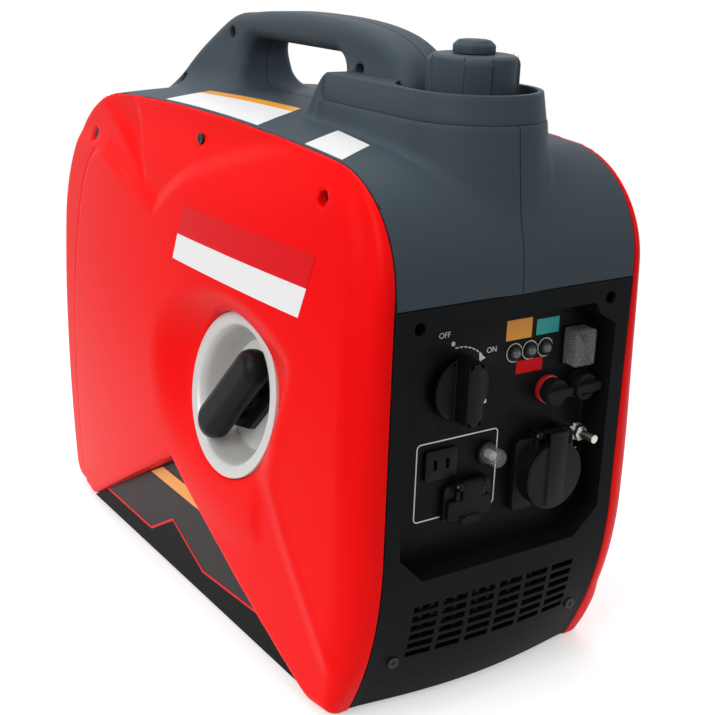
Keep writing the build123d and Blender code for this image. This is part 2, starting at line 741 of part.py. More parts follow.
def vent_knob():
    """The eight-sided vent knob on the fuel cap, with its stem."""
    face = RegularPolygon(VENT_ACROSS / 2, 8, major_radius=False)
    knob = extrude(Plane.XY.offset(CAP_TOP + PLAY) * face, amount=VENT_HEIGHT)
    knob = chamfer(knob.faces().sort_by(Axis.Z)[-1].edges(), VENT_CHAMFER)
    return Pos(0, CAP_PLACE, 0) * (knob + disc(VENT_STEM_RADIUS, CAP_TOP - WALL, CAP_TOP + WALL))


def filler_neck():
    """The metal filler tube from the tank's roof to the cap's gasket."""
    top = CAP_TOP - WALL - GASKET_HEIGHT
    tube = disc(FILLER_RADIUS, TANK_LOW, top) - disc(FILLER_RADIUS - FILLER_WALL, TANK_LOW, top)
    return Pos(0, CAP_PLACE, 0) * tube - tank_solid(0)


def cap_gasket():
    """The flat ring between the filler tube and the cap."""
    top = CAP_TOP - WALL
    ring = disc(FILLER_RADIUS, top - GASKET_HEIGHT, top)
    return Pos(0, CAP_PLACE, 0) * (ring - disc(FILLER_RADIUS - FILLER_WALL, CAP_FOOT, CAP_TOP))


def tank_solid(inset):
    """The fuel tank's outer form, moved in by a wall."""
    outline = core_outline(WALL + TANK_CLEARANCE + inset)
    half = SEAM_X - WALL - TANK_CLEARANCE - inset
    room = span_box(-BIG, BIG, -BIG, TANK_REAR - inset, TANK_LOW + inset, BIG)
    return side_prism(outline, -half, half) & room


def fuel_tank():
    """The fuel tank, open at the filler tube."""
    mouth = upright(FILLER_RADIUS - FILLER_WALL, TANK_LOW + TANK_WALL, NECK_TOP, 0, CAP_PLACE)
    return tank_solid(0) - tank_solid(TANK_WALL) - mouth


def recess_outline(grow=0.0):
    """The control recess from the front: clipped lower corners, stepped round the upper screws."""
    half = [
        (RECESS_TOP_HALF, RECESS_TOP),
        (RECESS_STEP_HALF, RECESS_STEP_HIGH),
        (RECESS_HALF_WIDTH, RECESS_STEP_LOW),
        (RECESS_HALF_WIDTH, RECESS_CLIP_HEIGHT),
        (RECESS_LOW_HALF, RECESS_BOTTOM),
    ]
    other = [(-x, z) for x, z in reversed(half)]
    face = make_face(Polyline(*half, *other, close=True))
    return offset(face, amount=grow) if grow else face


def bezel_screw_places():
    """X and Z of the bezel's four screws."""
    heights = (BEZEL_SCREW_HIGH, BEZEL_SCREW_LOW)
    return [(side * BEZEL_SCREW_HALF, z) for side in (-1, 1) for z in heights]


def grille_slots():
    """The rows of slots of the lower air grille."""
    slots = []
    for column in range(GRILLE_COLUMNS):
        for row in range(GRILLE_ROWS):
            x = (column - (GRILLE_COLUMNS - 1) / 2) * GRILLE_PITCH_X
            z = GRILLE_MIDDLE + (row - (GRILLE_ROWS - 1) / 2) * GRILLE_PITCH_Z
            slot = Box(GRILLE_SLOT_WIDTH, GRILLE_CUT, GRILLE_SLOT_HEIGHT)
            slots.append(Pos(x, -HALF_LENGTH, z) * slot)
    return slots


def front_bezel(band):
    """The front cover with the control recess's walls, the grille and the screw bosses."""
    room = span_box(-BIG, BIG, -BIG, 0, BASE_SEAM, COVER_SEAM)
    outer = side_prism(core_outline(), -SEAM_X, SEAM_X) & room
    bezel = band & room
    bezel += front_prism(recess_outline(WALL), PLATE_FACE, -HALF_LENGTH) & outer
    bezel -= front_prism(recess_outline(), PLATE_FACE, -HALF_LENGTH)
    for x, z in bezel_screw_places():
        bezel += outer & along_y(BEZEL_BOSS_RADIUS, -HALF_LENGTH, BEZEL_BOSS_DEPTH - HALF_LENGTH, x, z)
    for x, z in bezel_screw_places():
        seat = BEZEL_SCREW_SINK - HALF_LENGTH
        bezel -= along_y(SCREW_HEAD_RADIUS + PLAY, -HALF_LENGTH, seat, x, z)
        bezel -= along_y(SCREW_RADIUS + PLAY, -HALF_LENGTH, 0, x, z)
    return bezel - grille_slots()


def bezel_screws():
    """The screws of the front bezel."""
    seat = BEZEL_SCREW_SINK - HALF_LENGTH
    return [on_front(x, z, seat) * cross_screw() for x, z in bezel_screw_places()]


def control_panel():
    """The black panel plate behind the recess, holed for what stands on it."""
    plate = front_prism(recess_outline(WALL), PLATE_BACK, PLATE_FACE)
    deep = 2 * PLATE_THICKNESS
    holes = [on_plate(SWITCH_X, SWITCH_Z) * disc(KNOB_SHAFT_RADIUS + PLAY, -deep, deep)]
    holes.append(on_plate(OUTLET_X, OUTLET_Z) * disc(OUTLET_BODY_RADIUS + PLAY, -deep, deep))
    holes.append(on_plate(BREAKER_X, BREAKER_Z) * disc(BREAKER_BOOT_RADIUS, -deep, deep))
    holes.append(on_plate(EARTH_X, EARTH_Z) * disc(EARTH_ROOT_RADIUS + PLAY, -deep, deep))
    for x in PARALLEL_XS:
        holes.append(on_plate(x, PARALLEL_Z) * disc(PARALLEL_COLLAR_RADIUS, -deep, deep))
    for number in range(LAMP_COUNT):
        holes.append(on_plate(LAMP_X + number * LAMP_PITCH, LAMP_Z) * disc(LAMP_RADIUS + PLAY, -deep, deep))
    rocker = block(ROCKER_FLANGE_WIDTH - 2 * WALL, ROCKER_FLANGE_HEIGHT - WALL, -deep, deep)
    holes.append(on_plate(ROCKER_X, ROCKER_Z) * rocker)
    low = block(LOW_OUTLET_WIDTH - 2 * WALL, LOW_OUTLET_HEIGHT - 2 * WALL, -deep, deep)
    holes.append(on_plate(LOW_OUTLET_X, LOW_OUTLET_Z) * low)
    port = block(PORT_WIDTH - 2 * WALL, PORT_HEIGHT - 2 * WALL, -deep, deep)
    holes.append(on_plate(PORT_X, PORT_Z) * port)
    return plate - holes


def switch_knob():
    """The engine switch knob: a round skirt with a bar to grip."""
    knob = disc(KNOB_RADIUS, PLAY, KNOB_SKIRT)
    knob = chamfer(knob.edges().sort_by(Axis.Z)[-1], KNOB_CHAMFER)
    top = KNOB_SKIRT + KNOB_BAR_HEIGHT
    bar = rounded_block(KNOB_BAR_WIDTH, 2 * KNOB_RADIUS - PLAY, WALL, KNOB_SKIRT, top)
    bar &= disc(KNOB_RADIUS - KNOB_CHAMFER, 0, top)
    return on_plate(SWITCH_X, SWITCH_Z) * (knob + bar)


def switch_shaft():
    """The knob's shaft, through the plate into the switch."""
    shaft = disc(KNOB_SHAFT_RADIUS, -PLATE_THICKNESS - SWITCH_BODY_DEPTH + WALL, PLAY)
    return on_plate(SWITCH_X, SWITCH_Z) * shaft


def switch_body():
    """The combined ignition, fuel and choke switch behind the plate."""
    low = -PLATE_THICKNESS - SWITCH_BODY_DEPTH
    body = rounded_block(SWITCH_BODY_SIZE, SWITCH_BODY_SIZE, WALL, low, -PLATE_THICKNESS)
    body -= disc(KNOB_SHAFT_RADIUS + RUNNING_FIT, low + WALL, 0)
    return on_plate(SWITCH_X, SWITCH_Z) * body


def lamp_rings():
    """The rings round the indicator lamps."""
    ring = disc(LAMP_RING_RADIUS, 0, LAMP_RING_HEIGHT) - disc(LAMP_RADIUS, 0, LAMP_RING_HEIGHT)
    return [on_plate(LAMP_X + number * LAMP_PITCH, LAMP_Z) * ring for number in range(LAMP_COUNT)]


def indicator_lamps():
    """The indicator lamps, each a round body with a domed lens."""
    dome = Pos(0, 0, LAMP_RING_HEIGHT) * Sphere(LAMP_RADIUS)
    dome &= disc(LAMP_RADIUS, LAMP_RING_HEIGHT, LAMP_DEPTH)
    lamp = disc(LAMP_RADIUS, -LAMP_DEPTH, LAMP_RING_HEIGHT) + dome
    return [on_plate(LAMP_X + number * LAMP_PITCH, LAMP_Z) * lamp for number in range(LAMP_COUNT)]


def rocker_body():
    """The rocker switch's body: a flange on the plate and a pocket for the paddle."""
    body = rounded_block(ROCKER_FLANGE_WIDTH, ROCKER_FLANGE_HEIGHT, 1, 0, ROCKER_FLANGE)
    width = ROCKER_FLANGE_WIDTH - 2 * WALL - 2 * PLAY
    body += block(width, ROCKER_FLANGE_HEIGHT - WALL - 2 * PLAY, -ROCKER_DEPTH, 0)
    body -= block(ROCKER_WIDTH + 2 * PLAY, ROCKER_LENGTH + WALL, -ROCKER_DEPTH / 2, ROCKER_FLANGE)
    bore = Rot(0, 90, 0) * Cylinder(PIN_RADIUS + RUNNING_FIT, ROCKER_FLANGE_WIDTH - 2 * WALL)
    return on_plate(ROCKER_X, ROCKER_Z) * (body - bore)


def rocker_paddle():
    """The economy rocker, tilted to its rest, with its two stub pivots."""
    half = ROCKER_LENGTH / 2
    outline = [(-half, -WALL), (half, -WALL), (half, 2 * WALL), (0, WALL), (-half, 2 * WALL)]
    face = make_face(Polyline(*outline, close=True))
    paddle = side_prism(face, -ROCKER_WIDTH / 2, ROCKER_WIDTH / 2)
    paddle += Rot(0, 90, 0) * Cylinder(PIN_RADIUS, ROCKER_WIDTH + 2 * WALL / 2)
    return on_plate(ROCKER_X, ROCKER_Z) * Rot(ROCKER_TILT, 0, 0) * paddle


def rocker_boot():
    """The clear cap over the rocker."""
    width = ROCKER_FLANGE_WIDTH - BOOT_WALL
    height = ROCKER_FLANGE_HEIGHT - BOOT_WALL
    top = ROCKER_FLANGE + BOOT_HEIGHT
    boot = rounded_block(width, height, WALL, ROCKER_FLANGE, top)
    boot = fillet(boot.faces().sort_by(Axis.Z)[-1].edges(), 2 * BOOT_WALL)
    boot -= block(width - 2 * BOOT_WALL, height - 2 * BOOT_WALL, ROCKER_FLANGE, top - BOOT_WALL)
    return on_plate(ROCKER_X, ROCKER_Z) * boot


def parallel_socket(x):
    """A socket for running two generators together, with a 4 mm bore."""
    out = PARALLEL_FLANGE + PARALLEL_COLLAR
    socket = disc(PARALLEL_FLANGE_RADIUS, 0, PARALLEL_FLANGE) + disc(PARALLEL_COLLAR_RADIUS, 0, out)
    socket += disc(PARALLEL_COLLAR_RADIUS - PLAY, -PARALLEL_DEPTH, 0)
    return on_plate(x, PARALLEL_Z) * (socket - disc(PARALLEL_BORE, -PARALLEL_DEPTH / 2, out))


def parallel_cap(x):
    """The rubber cap that pulls off a parallel socket, with two ears to grip."""
    inner = PARALLEL_COLLAR_RADIUS + PLAY
    low = PARALLEL_FLANGE + PLAY
    inside = PARALLEL_FLANGE + PARALLEL_COLLAR + PLAY
    high = inside + PARALLEL_CAP_WALL
    cap = disc(inner + PARALLEL_CAP_WALL, low, high)
    ears = 2 * PARALLEL_FLANGE_RADIUS + WALL
    cap += rounded_block(ears, 2 * WALL, WALL / 2, high - 2 * WALL, high + WALL)
    return on_plate(x, PARALLEL_Z) * (cap - disc(inner, low, inside))


def hinge_barrel(radius, width, up, out):
    """A round bar along local X at a hinge's place."""
    return Pos(0, up, out) * Rot(0, 90, 0) * Cylinder(radius, width)


def hinge_ears(width, up, out, foot):
    """Two ears that hold a hinge pin, standing on a piece whose face is at foot."""
    ears = []
    for side in (-1, 1):
        place = Pos(side * (width / 2 + HINGE_SIDE_GAP + HINGE_EAR / 2), 0, 0)
        ear = Pos(0, up, out) * Rot(0, 90, 0) * Cylinder(HINGE_BARREL_RADIUS, HINGE_EAR)
        web = Box(HINGE_EAR, 4 * HINGE_BARREL_RADIUS, 2 * (out - foot))
        ear += Pos(0, up - HINGE_BARREL_RADIUS, foot) * web
        ears.append(place * ear)
    return ears


def outlet_body():
    """The mains outlet: flange, round well with two pin holes, and the lid's hinge ears."""
    out = OUTLET_FLANGE + OUTLET_COLLAR
    body = rounded_block(OUTLET_SIZE, OUTLET_SIZE, WALL, 0, OUTLET_FLANGE)
    body += disc(OUTLET_COLLAR_RADIUS, 0, out)
    body += disc(OUTLET_BODY_RADIUS, -OUTLET_BODY_DEPTH, 0)
    front = span_box(-BIG, BIG, -BIG, BIG, 0, BIG)
    for ear in hinge_ears(LID_BAND_WIDTH, LID_HINGE_UP, LID_HINGE_OUT, OUTLET_FLANGE / 2):
        body += ear & front
    body -= disc(OUTLET_WELL_RADIUS, out - OUTLET_WELL_DEPTH, BIG)
    for side in (-1, 1):
        hole = disc(OUTLET_PIN_RADIUS, -OUTLET_BODY_DEPTH + WALL, out)
        body -= Pos(side * OUTLET_PIN_HALF_SPACING, 0, 0) * hole
    pin_room = hinge_barrel(PIN_RADIUS, OUTLET_SIZE, LID_HINGE_UP, LID_HINGE_OUT)
    barrel_room = hinge_barrel(HINGE_BARREL_RADIUS + 2 * PLAY, LID_BAND_WIDTH + 2 * HINGE_SIDE_GAP,
                               LID_HINGE_UP, LID_HINGE_OUT)
    return on_plate(OUTLET_X, OUTLET_Z) * (body - pin_room - barrel_room)


def outlet_lid():
    """The mains outlet's sprung lid with its raised band, hinged at the top."""
    low = OUTLET_FLANGE + OUTLET_COLLAR + PLAY
    high = low + LID_THICKNESS
    lid = disc(LID_RADIUS, low, high)
    lid = fillet(lid.edges().sort_by(Axis.Z)[-1], LID_THICKNESS / 3)
    reach = LID_HINGE_UP + HINGE_BARREL_RADIUS
    top = high + LID_BAND
    band = Pos(0, (reach - LID_RADIUS) / 2, 0) * block(LID_BAND_WIDTH, reach + LID_RADIUS, low, top)
    lid += band & Pos(0, LID_BAND_WIDTH / 2, 0) * disc(LID_RADIUS + LID_BAND_WIDTH / 2 - WALL, low, top)
    lid += hinge_barrel(HINGE_BARREL_RADIUS, LID_BAND_WIDTH, LID_HINGE_UP, LID_HINGE_OUT)
    lid -= hinge_barrel(PIN_RADIUS + RUNNING_FIT, OUTLET_SIZE, LID_HINGE_UP, LID_HINGE_OUT)
    return on_plate(OUTLET_X, OUTLET_Z) * lid


def hinge_pin(width, up, out):
    """A hinge pin as long as its barrel, gaps and ears."""
    length = width + 2 * HINGE_SIDE_GAP + 2 * HINGE_EAR
    return hinge_barrel(PIN_RADIUS, length, up, out)


def lid_pin():
    """The pin of the mains outlet's lid."""
    return on_plate(OUTLET_X, OUTLET_Z) * hinge_pin(LID_BAND_WIDTH, LID_HINGE_UP, LID_HINGE_OUT)


def low_outlet():
    """The low-voltage outlet with two flat slots."""
    outlet = rounded_block(LOW_OUTLET_WIDTH, LOW_OUTLET_HEIGHT, 2, 0, LOW_OUTLET_FLANGE)
    width = LOW_OUTLET_WIDTH - 2 * WALL - 2 * PLAY
    outlet += block(width, LOW_OUTLET_HEIGHT - 2 * WALL - 2 * PLAY, -LOW_OUTLET_DEPTH, 0)
    for side in (-1, 1):
        slot = block(LOW_SLOT_WIDTH, LOW_SLOT_HEIGHT, -LOW_OUTLET_DEPTH + WALL, LOW_OUTLET_FLANGE)
        outlet -= Pos(side * LOW_SLOT_SPACING / 2, 0, 0) * slot
    return on_plate(LOW_OUTLET_X, LOW_OUTLET_Z) * outlet


def breaker_body():
    """The push-to-reset breaker: a flange on the plate and a barrel behind it."""
    body = disc(BREAKER_FLANGE_RADIUS, 0, BREAKER_FLANGE)
    body += disc(BREAKER_BOOT_RADIUS - PLAY, -BREAKER_DEPTH, 0)
    body -= disc(BREAKER_BUTTON_RADIUS + RUNNING_FIT, WALL - BREAKER_DEPTH, BREAKER_FLANGE)
    return on_plate(BREAKER_X, BREAKER_Z) * body


def breaker_button():
    """The breaker's push button, with room behind it for its travel."""
    low = WALL + BREAKER_TRAVEL + PLAY - BREAKER_DEPTH
    button = disc(BREAKER_BUTTON_RADIUS, low, BREAKER_FLANGE + BREAKER_BUTTON_OUT)
    return on_plate(BREAKER_X, BREAKER_Z) * button


def breaker_boot():
    """The clear soft boot over the breaker's button."""
    high = BREAKER_FLANGE + BREAKER_BOOT_LENGTH
    boot = disc(BREAKER_BOOT_RADIUS, BREAKER_FLANGE, high)
    boot = fillet(boot.edges().sort_by(Axis.Z)[-1], BREAKER_BOOT_RADIUS / 2)
    boot -= disc(BREAKER_BOOT_RADIUS - BOOT_WALL, BREAKER_FLANGE, high - 2 * WALL)
    return on_plate(BREAKER_X, BREAKER_Z) * boot


def port_hinge_up():
    """How far the charging port's hinge is above the port's middle."""
    return PORT_HEIGHT / 2


def port_frame():
    """The charging port's frame with two ports, and the flap's hinge ears."""
    frame = rounded_block(PORT_WIDTH, PORT_HEIGHT, WALL, 0, PORT_FRAME)
    width = PORT_WIDTH - 2 * WALL - 2 * PLAY
    frame += block(width, PORT_HEIGHT - 2 * WALL - 2 * PLAY, -PORT_DEPTH, 0)
    for side in (-1, 1):
        hole = block(PORT_HOLE_WIDTH, PORT_HOLE_HEIGHT, -PORT_DEPTH + WALL, PORT_FRAME)
        frame -= Pos(side * PORT_HOLE_SPACING / 2, 0, 0) * hole
    front = span_box(-BIG, BIG, -BIG, BIG, 0, BIG)
    for ear in hinge_ears(LID_BAND_WIDTH, port_hinge_up(), FLAP_HINGE_OUT, PORT_FRAME / 2):
        frame += ear & front
    frame -= hinge_barrel(PIN_RADIUS, PORT_WIDTH, port_hinge_up(), FLAP_HINGE_OUT)
    frame -= hinge_barrel(HINGE_BARREL_RADIUS + 2 * PLAY, LID_BAND_WIDTH + 2 * HINGE_SIDE_GAP,
                          port_hinge_up(), FLAP_HINGE_OUT)
    return on_plate(PORT_X, PORT_Z) * frame


def port_flap():
    """The rubber flap over the charging ports, hinged at the top."""
    low = PORT_FRAME + PLAY
    high = low + FLAP_THICKNESS
    reach = port_hinge_up() - 3 * HINGE_BARREL_RADIUS - PLAY
    drop = PORT_HEIGHT / 2 - FLAP_MARGIN
    face = RectangleRounded(PORT_WIDTH - WALL, reach + drop, WALL)
    flap = extrude(Pos(0, (reach - drop) / 2, low) * face, amount=FLAP_THICKNESS)
    tongue = port_hinge_up() - reach
    inside = high - FLAP_THICKNESS / 2
    flap += Pos(0, reach + tongue / 2 - PLAY, 0) * block(LID_BAND_WIDTH, tongue, inside, high + FLAP_LIFT)
    flap += hinge_barrel(HINGE_BARREL_RADIUS, LID_BAND_WIDTH, port_hinge_up(), FLAP_HINGE_OUT)
    tab = rounded_block(LID_BAND_WIDTH, 2 * WALL, WALL / 2, inside, high + FLAP_LIFT)
    flap += Pos(0, -drop, 0) * tab
    flap -= hinge_barrel(PIN_RADIUS + RUNNING_FIT, PORT_WIDTH, port_hinge_up(), FLAP_HINGE_OUT)
    return on_plate(PORT_X, PORT_Z) * flap


def flap_pin():
    """The pin of the charging port's flap."""
    return on_plate(PORT_X, PORT_Z) * hinge_pin(LID_BAND_WIDTH, port_hinge_up(), FLAP_HINGE_OUT)


def earth_stack():
    """The height of the earth terminal's two washers and nut."""
    return 2 * EARTH_WASHER + EARTH_NUT


def earth_stud():
    """The earth terminal's stud: a root under the nut, a free end, and a head behind the plate."""
    head = extrude(RegularPolygon(EARTH_NUT_ACROSS / 2, 6, major_radius=False), amount=-EARTH_NUT)
    stud = Pos(0, 0, -PLATE_THICKNESS) * head + disc(EARTH_ROOT_RADIUS, -PLATE_THICKNESS, earth_stack())
    return on_plate(EARTH_X, EARTH_Z) * (stud + disc(EARTH_RADIUS, earth_stack(), EARTH_OUT))


def earth_nuts():
    """The earth terminal's two washers and its nut, as separate pieces."""
    bore = disc(EARTH_ROOT_RADIUS + RUNNING_FIT, -BIG, BIG)
    washer = disc(EARTH_WASHER_RADIUS, 0, EARTH_WASHER) - bore
    nut = extrude(RegularPolygon(EARTH_NUT_ACROSS / 2, 6, major_radius=False), amount=EARTH_NUT) - bore
    pile = [washer, Pos(0, 0, EARTH_WASHER) * washer, Pos(0, 0, 2 * EARTH_WASHER) * nut]
    return [on_plate(EARTH_X, EARTH_Z) * piece for piece in pile]


def starter_dish():
    """The bright bowl round the starter grip, with its rim and skirt."""
    rim = DISH_RADIUS - DISH_RIM
    outline = [
        (DISH_RADIUS, 0), (rim, 0), (rim - DISH_WALL, -DISH_WALL),
        (DISH_FLOOR_RADIUS, -DISH_DEPTH), (DISH_CENTRE_HOLE, -DISH_DEPTH),
        (DISH_CENTRE_HOLE, -DISH_DEPTH - DISH_WALL),
        (DISH_FLOOR_RADIUS + DISH_WALL, -DISH_DEPTH - DISH_WALL), (rim, -2 * DISH_WALL),
        (DISH_RADIUS - DISH_WALL, -2 * DISH_WALL),
        (DISH_RADIUS - DISH_WALL, -DISH_SKIRT), (DISH_RADIUS, -DISH_SKIRT),
    ]
    face = Plane.XZ * make_face(Polyline(*outline, close=True))
    dish = revolve(face, Axis.Z)
    for screw in guide_screw_offsets():
        dish -= screw * disc(SCREW_RADIUS + PLAY, -BIG, 0)
    return dish_place() * dish


def guide_screw_offsets():
    """Where the rope guide's two screws stand, in the dish's own frame."""
    turn = Rot(0, 0, GRIP_TURN)
    return [turn * Pos(side * GUIDE_SCREW_SPACING / 2, 0, 0) for side in (-1, 1)]


def rope_guide():
    """The black guide plate on the dish's floor, with the rope's eye."""
    low = -DISH_DEPTH
    half = GUIDE_LENGTH / 2
    side = GUIDE_WIDTH / 2
    upper = [(half, 0), (half / 2, side), (-half / 2, side)]
    lower = [(-x, -y) for x, y in upper]
    face = make_face(Polyline(*upper, *lower, close=True))
    guide = Rot(0, 0, GRIP_TURN) * extrude(Plane.XY.offset(low) * face, amount=GUIDE_PLATE)
    guide += disc(GUIDE_BOSS_RADIUS, low - DISH_WALL, low + GUIDE_PLATE + GUIDE_BOSS)
    for screw in guide_screw_offsets():
        guide -= screw * disc(SCREW_RADIUS + PLAY, -BIG, 0)
    return dish_place() * (guide - disc(ROPE_HOLE, -BIG, 0))


def guide_screws():
    """The two screws of the rope guide."""
    seat = Pos(0, 0, -DISH_DEPTH + GUIDE_PLATE)
    return [dish_place() * screw * seat * cross_screw() for screw in guide_screw_offsets()]


def stem_end():
    """Where the grip's stem meets the rope guide, along the pull."""
    return -DISH_DEPTH + GUIDE_PLATE + GUIDE_BOSS + PLAY


def starter_grip():
    """The starter's grip: a rounded bar with a stem on the rope."""
    low = GRIP_OUT - GRIP_THICKNESS
    face = SlotOverall(GRIP_LENGTH, GRIP_WIDTH)
    bar = extrude(Plane.XY.offset(low) * face, amount=GRIP_THICKNESS)
    flats = bar.faces().filter_by(Axis.Z)
    bar = fillet(flats.edges(), GRIP_ROUNDING)
    stem = disc(GRIP_STEM_RADIUS, stem_end(), low + WALL)
    return dish_place() * (Rot(0, 0, GRIP_TURN) * bar + stem)


def starter_rope():
    """The short run of rope between the grip's stem and the starter housing."""
    end = (DISH_X - HOUSING_FRONT) / cos(radians(DISH_TILT))
    return dish_place() * disc(ROPE_RADIUS, end, stem_end())


def starter_housing():
    """The cup that holds the rope reel, with its post and the boss behind the dish."""
    cup = along_x(HOUSING_RADIUS, HOUSING_FRONT, HOUSING_BACK, CRANK_Y, CRANK_Z)
    cup -= along_x(HOUSING_RADIUS - WALL, HOUSING_FRONT + WALL, HOUSING_BACK, CRANK_Y, CRANK_Z)
    boss = dish_place() * disc(HOUSING_BOSS_RADIUS, DISH_X, -DISH_DEPTH - DISH_WALL)
    cup += boss & span_box(-BIG, HOUSING_FRONT + WALL, -BIG, BIG, -BIG, BIG)
    cup += along_x(REEL_POST_RADIUS, HOUSING_FRONT, HOUSING_BACK - WALL, CRANK_Y, CRANK_Z)
    for screw in guide_screw_offsets():
        cup -= dish_place() * screw * disc(SCREW_RADIUS, -DISH_DEPTH + GUIDE_PLATE - SCREW_LENGTH, 0)
    rope_room = dish_place() * disc(ROPE_HOLE, DISH_X, 0)
    return cup - (rope_room & span_box(-BIG, HOUSING_FRONT + WALL, -BIG, BIG, -BIG, BIG))


def starter_reel():
    """The grooved reel that the rope winds on."""
    low = HOUSING_FRONT + WALL + PLAY
    high = low + REEL_WIDTH
    reel = along_x(REEL_RADIUS, low, high, CRANK_Y, CRANK_Z)
    groove = along_x(REEL_RADIUS, low + WALL, high - WALL, CRANK_Y, CRANK_Z)
    reel -= groove - along_x(REEL_GROOVE_RADIUS, low, high, CRANK_Y, CRANK_Z)
    return reel - along_x(REEL_POST_RADIUS + RUNNING_FIT, low, high, CRANK_Y, CRANK_Z)


def flywheel():
    """The flywheel: a disc with a magnet rim, and fan blades on its outer face."""
    front = FLYWHEEL_FRONT + FAN_BLADES * FAN_BLADE_HEIGHT / 2
    wheel = along_x(FLYWHEEL_RADIUS, front, FLYWHEEL_BACK, CRANK_Y, CRANK_Z)
    wheel -= along_x(FLYWHEEL_RADIUS - FLYWHEEL_RIM, front + FLYWHEEL_DISC, FLYWHEEL_BACK, CRANK_Y, CRANK_Z)
    length = FLYWHEEL_RADIUS - REEL_RADIUS / 2 - WALL
    for number in range(FAN_BLADES):
        blade = span_box(FLYWHEEL_FRONT, front, -WALL / 2, WALL / 2,
                         FLYWHEEL_RADIUS - length, FLYWHEEL_RADIUS - WALL)
        turn = Pos(0, CRANK_Y, CRANK_Z) * Rot(number * 360 / FAN_BLADES, 0, 0)
        wheel += turn * blade
    return wheel - along_x(CRANK_RADIUS, FLYWHEEL_FRONT, FLYWHEEL_BACK, CRANK_Y, CRANK_Z)


def stator():
    """The stator ring inside the flywheel's rim, fixed to the crankcase."""
    ring = along_x(STATOR_RADIUS, FLYWHEEL_BACK - 2 * FLYWHEEL_RIM + WALL, CASE_LEFT, CRANK_Y, CRANK_Z)
    return ring - along_x(STATOR_BORE, FLYWHEEL_FRONT, CASE_LEFT, CRANK_Y, CRANK_Z)


def crankshaft():
    """The crankshaft: two round webs joined by a slim neck, with a shaft each way."""
    half = WEB_GAP / 2
    shaft = along_x(CRANK_NECK_RADIUS, CRANK_X - half, CRANK_X + half, CRANK_Y, CRANK_Z)
    shaft += along_x(WEB_RADIUS, CRANK_X - half - WEB_THICKNESS, CRANK_X - half, CRANK_Y, CRANK_Z)
    shaft += along_x(WEB_RADIUS, CRANK_X + half, CRANK_X + half + WEB_THICKNESS, CRANK_Y, CRANK_Z)
    shaft += along_x(CRANK_RADIUS, FLYWHEEL_FRONT, CRANK_X - half, CRANK_Y, CRANK_Z)
    return shaft + along_x(CRANK_RADIUS, CRANK_X + half, CRANK_END, CRANK_Y, CRANK_Z)


def crankcase():
    """The hollow crankcase with the crankshaft's two bearings and the cylinder's mouth."""
    front = CRANK_Y - CASE_HALF_LENGTH
    case = span_box(CASE_LEFT, CASE_RIGHT, front, CASE_REAR, CASE_LOW, CASE_HIGH)
    case = fillet(case.edges().filter_by(Axis.X), 3 * CASE_WALL)
    case -= span_box(CASE_LEFT + CASE_WALL, CASE_RIGHT - CASE_WALL,
                     front + CASE_WALL, CASE_REAR - CASE_WALL,
                     CASE_LOW + CASE_WALL, CASE_HIGH - CASE_WALL)
    case -= along_x(CRANK_RADIUS + RUNNING_FIT, CASE_LEFT, CASE_RIGHT, CRANK_Y, CRANK_Z)
    case -= along_y(BORE_RADIUS, CRANK_Y, CASE_REAR, CRANK_X, CRANK_Z)
    return case


def cylinder():
    """The finned cylinder, lying towards the rear."""
    end = CASE_REAR + CYLINDER_LENGTH
    barrel = along_y(CYLINDER_RADIUS, CASE_REAR, end, CRANK_X, CRANK_Z)
    pitch = (CYLINDER_LENGTH - FIN_THICKNESS) / (FIN_COUNT - 1)
    for number in range(FIN_COUNT):
        middle = CASE_REAR + FIN_THICKNESS / 2 + number * pitch
        barrel += Pos(CRANK_X, middle, CRANK_Z) * Box(FIN_SIZE, FIN_THICKNESS, FIN_SIZE)
    return barrel - along_y(BORE_RADIUS, CASE_REAR, end, CRANK_X, CRANK_Z)


def cylinder_head():
    """The cylinder head with its rocker cover."""
    low = CASE_REAR + CYLINDER_LENGTH
    head = Pos(CRANK_X, low + HEAD_LENGTH / 2, CRANK_Z) * Box(HEAD_SIZE, HEAD_LENGTH, HEAD_SIZE)
    cover = Pos(CRANK_X, HEAD_REAR + ROCKER_COVER_LENGTH / 2, CRANK_Z)
    cap = Box(ROCKER_COVER_SIZE, ROCKER_COVER_LENGTH, ROCKER_COVER_SIZE)
    return head + cover * fillet(cap.edges().filter_by(Axis.Y), 2 * WALL)


def wrist_pin_place():
    """Y of the piston's pin with the crank at its top dead centre."""
    return CRANK_Y + CRANK_THROW + ROD_LENGTH


def piston():
    """The piston, held at top dead centre."""
    low = wrist_pin_place() - PISTON_LENGTH / 2
    body = along_y(BORE_RADIUS - RUNNING_FIT, low, low + PISTON_LENGTH, CRANK_X, CRANK_Z)
    half = ROD_END_RADIUS + WALL
    room = span_box(CRANK_X - ROD_THICKNESS, CRANK_X + ROD_THICKNESS, low, wrist_pin_place() + half,
                    CRANK_Z - half, CRANK_Z + half)
    return body - room + along_x(ROD_PIN_RADIUS, CRANK_X - ROD_THICKNESS, CRANK_X + ROD_THICKNESS,
                                 wrist_pin_place(), CRANK_Z)


def connecting_rod():
    """The connecting rod, held at top dead centre."""
    half = ROD_THICKNESS / 2
    big = CRANK_Y + CRANK_THROW
    small = wrist_pin_place()
    rod = along_x(ROD_END_RADIUS, CRANK_X - half, CRANK_X + half, big, CRANK_Z)
    rod += along_x(ROD_END_RADIUS, CRANK_X - half, CRANK_X + half, small, CRANK_Z)
    rod += span_box(CRANK_X - half / 2, CRANK_X + half / 2, big, small, CRANK_Z - half, CRANK_Z + half)
    for place in (big, small):
        rod -= along_x(ROD_PIN_RADIUS + RUNNING_FIT, CRANK_X - half, CRANK_X + half, place, CRANK_Z)
    return rod


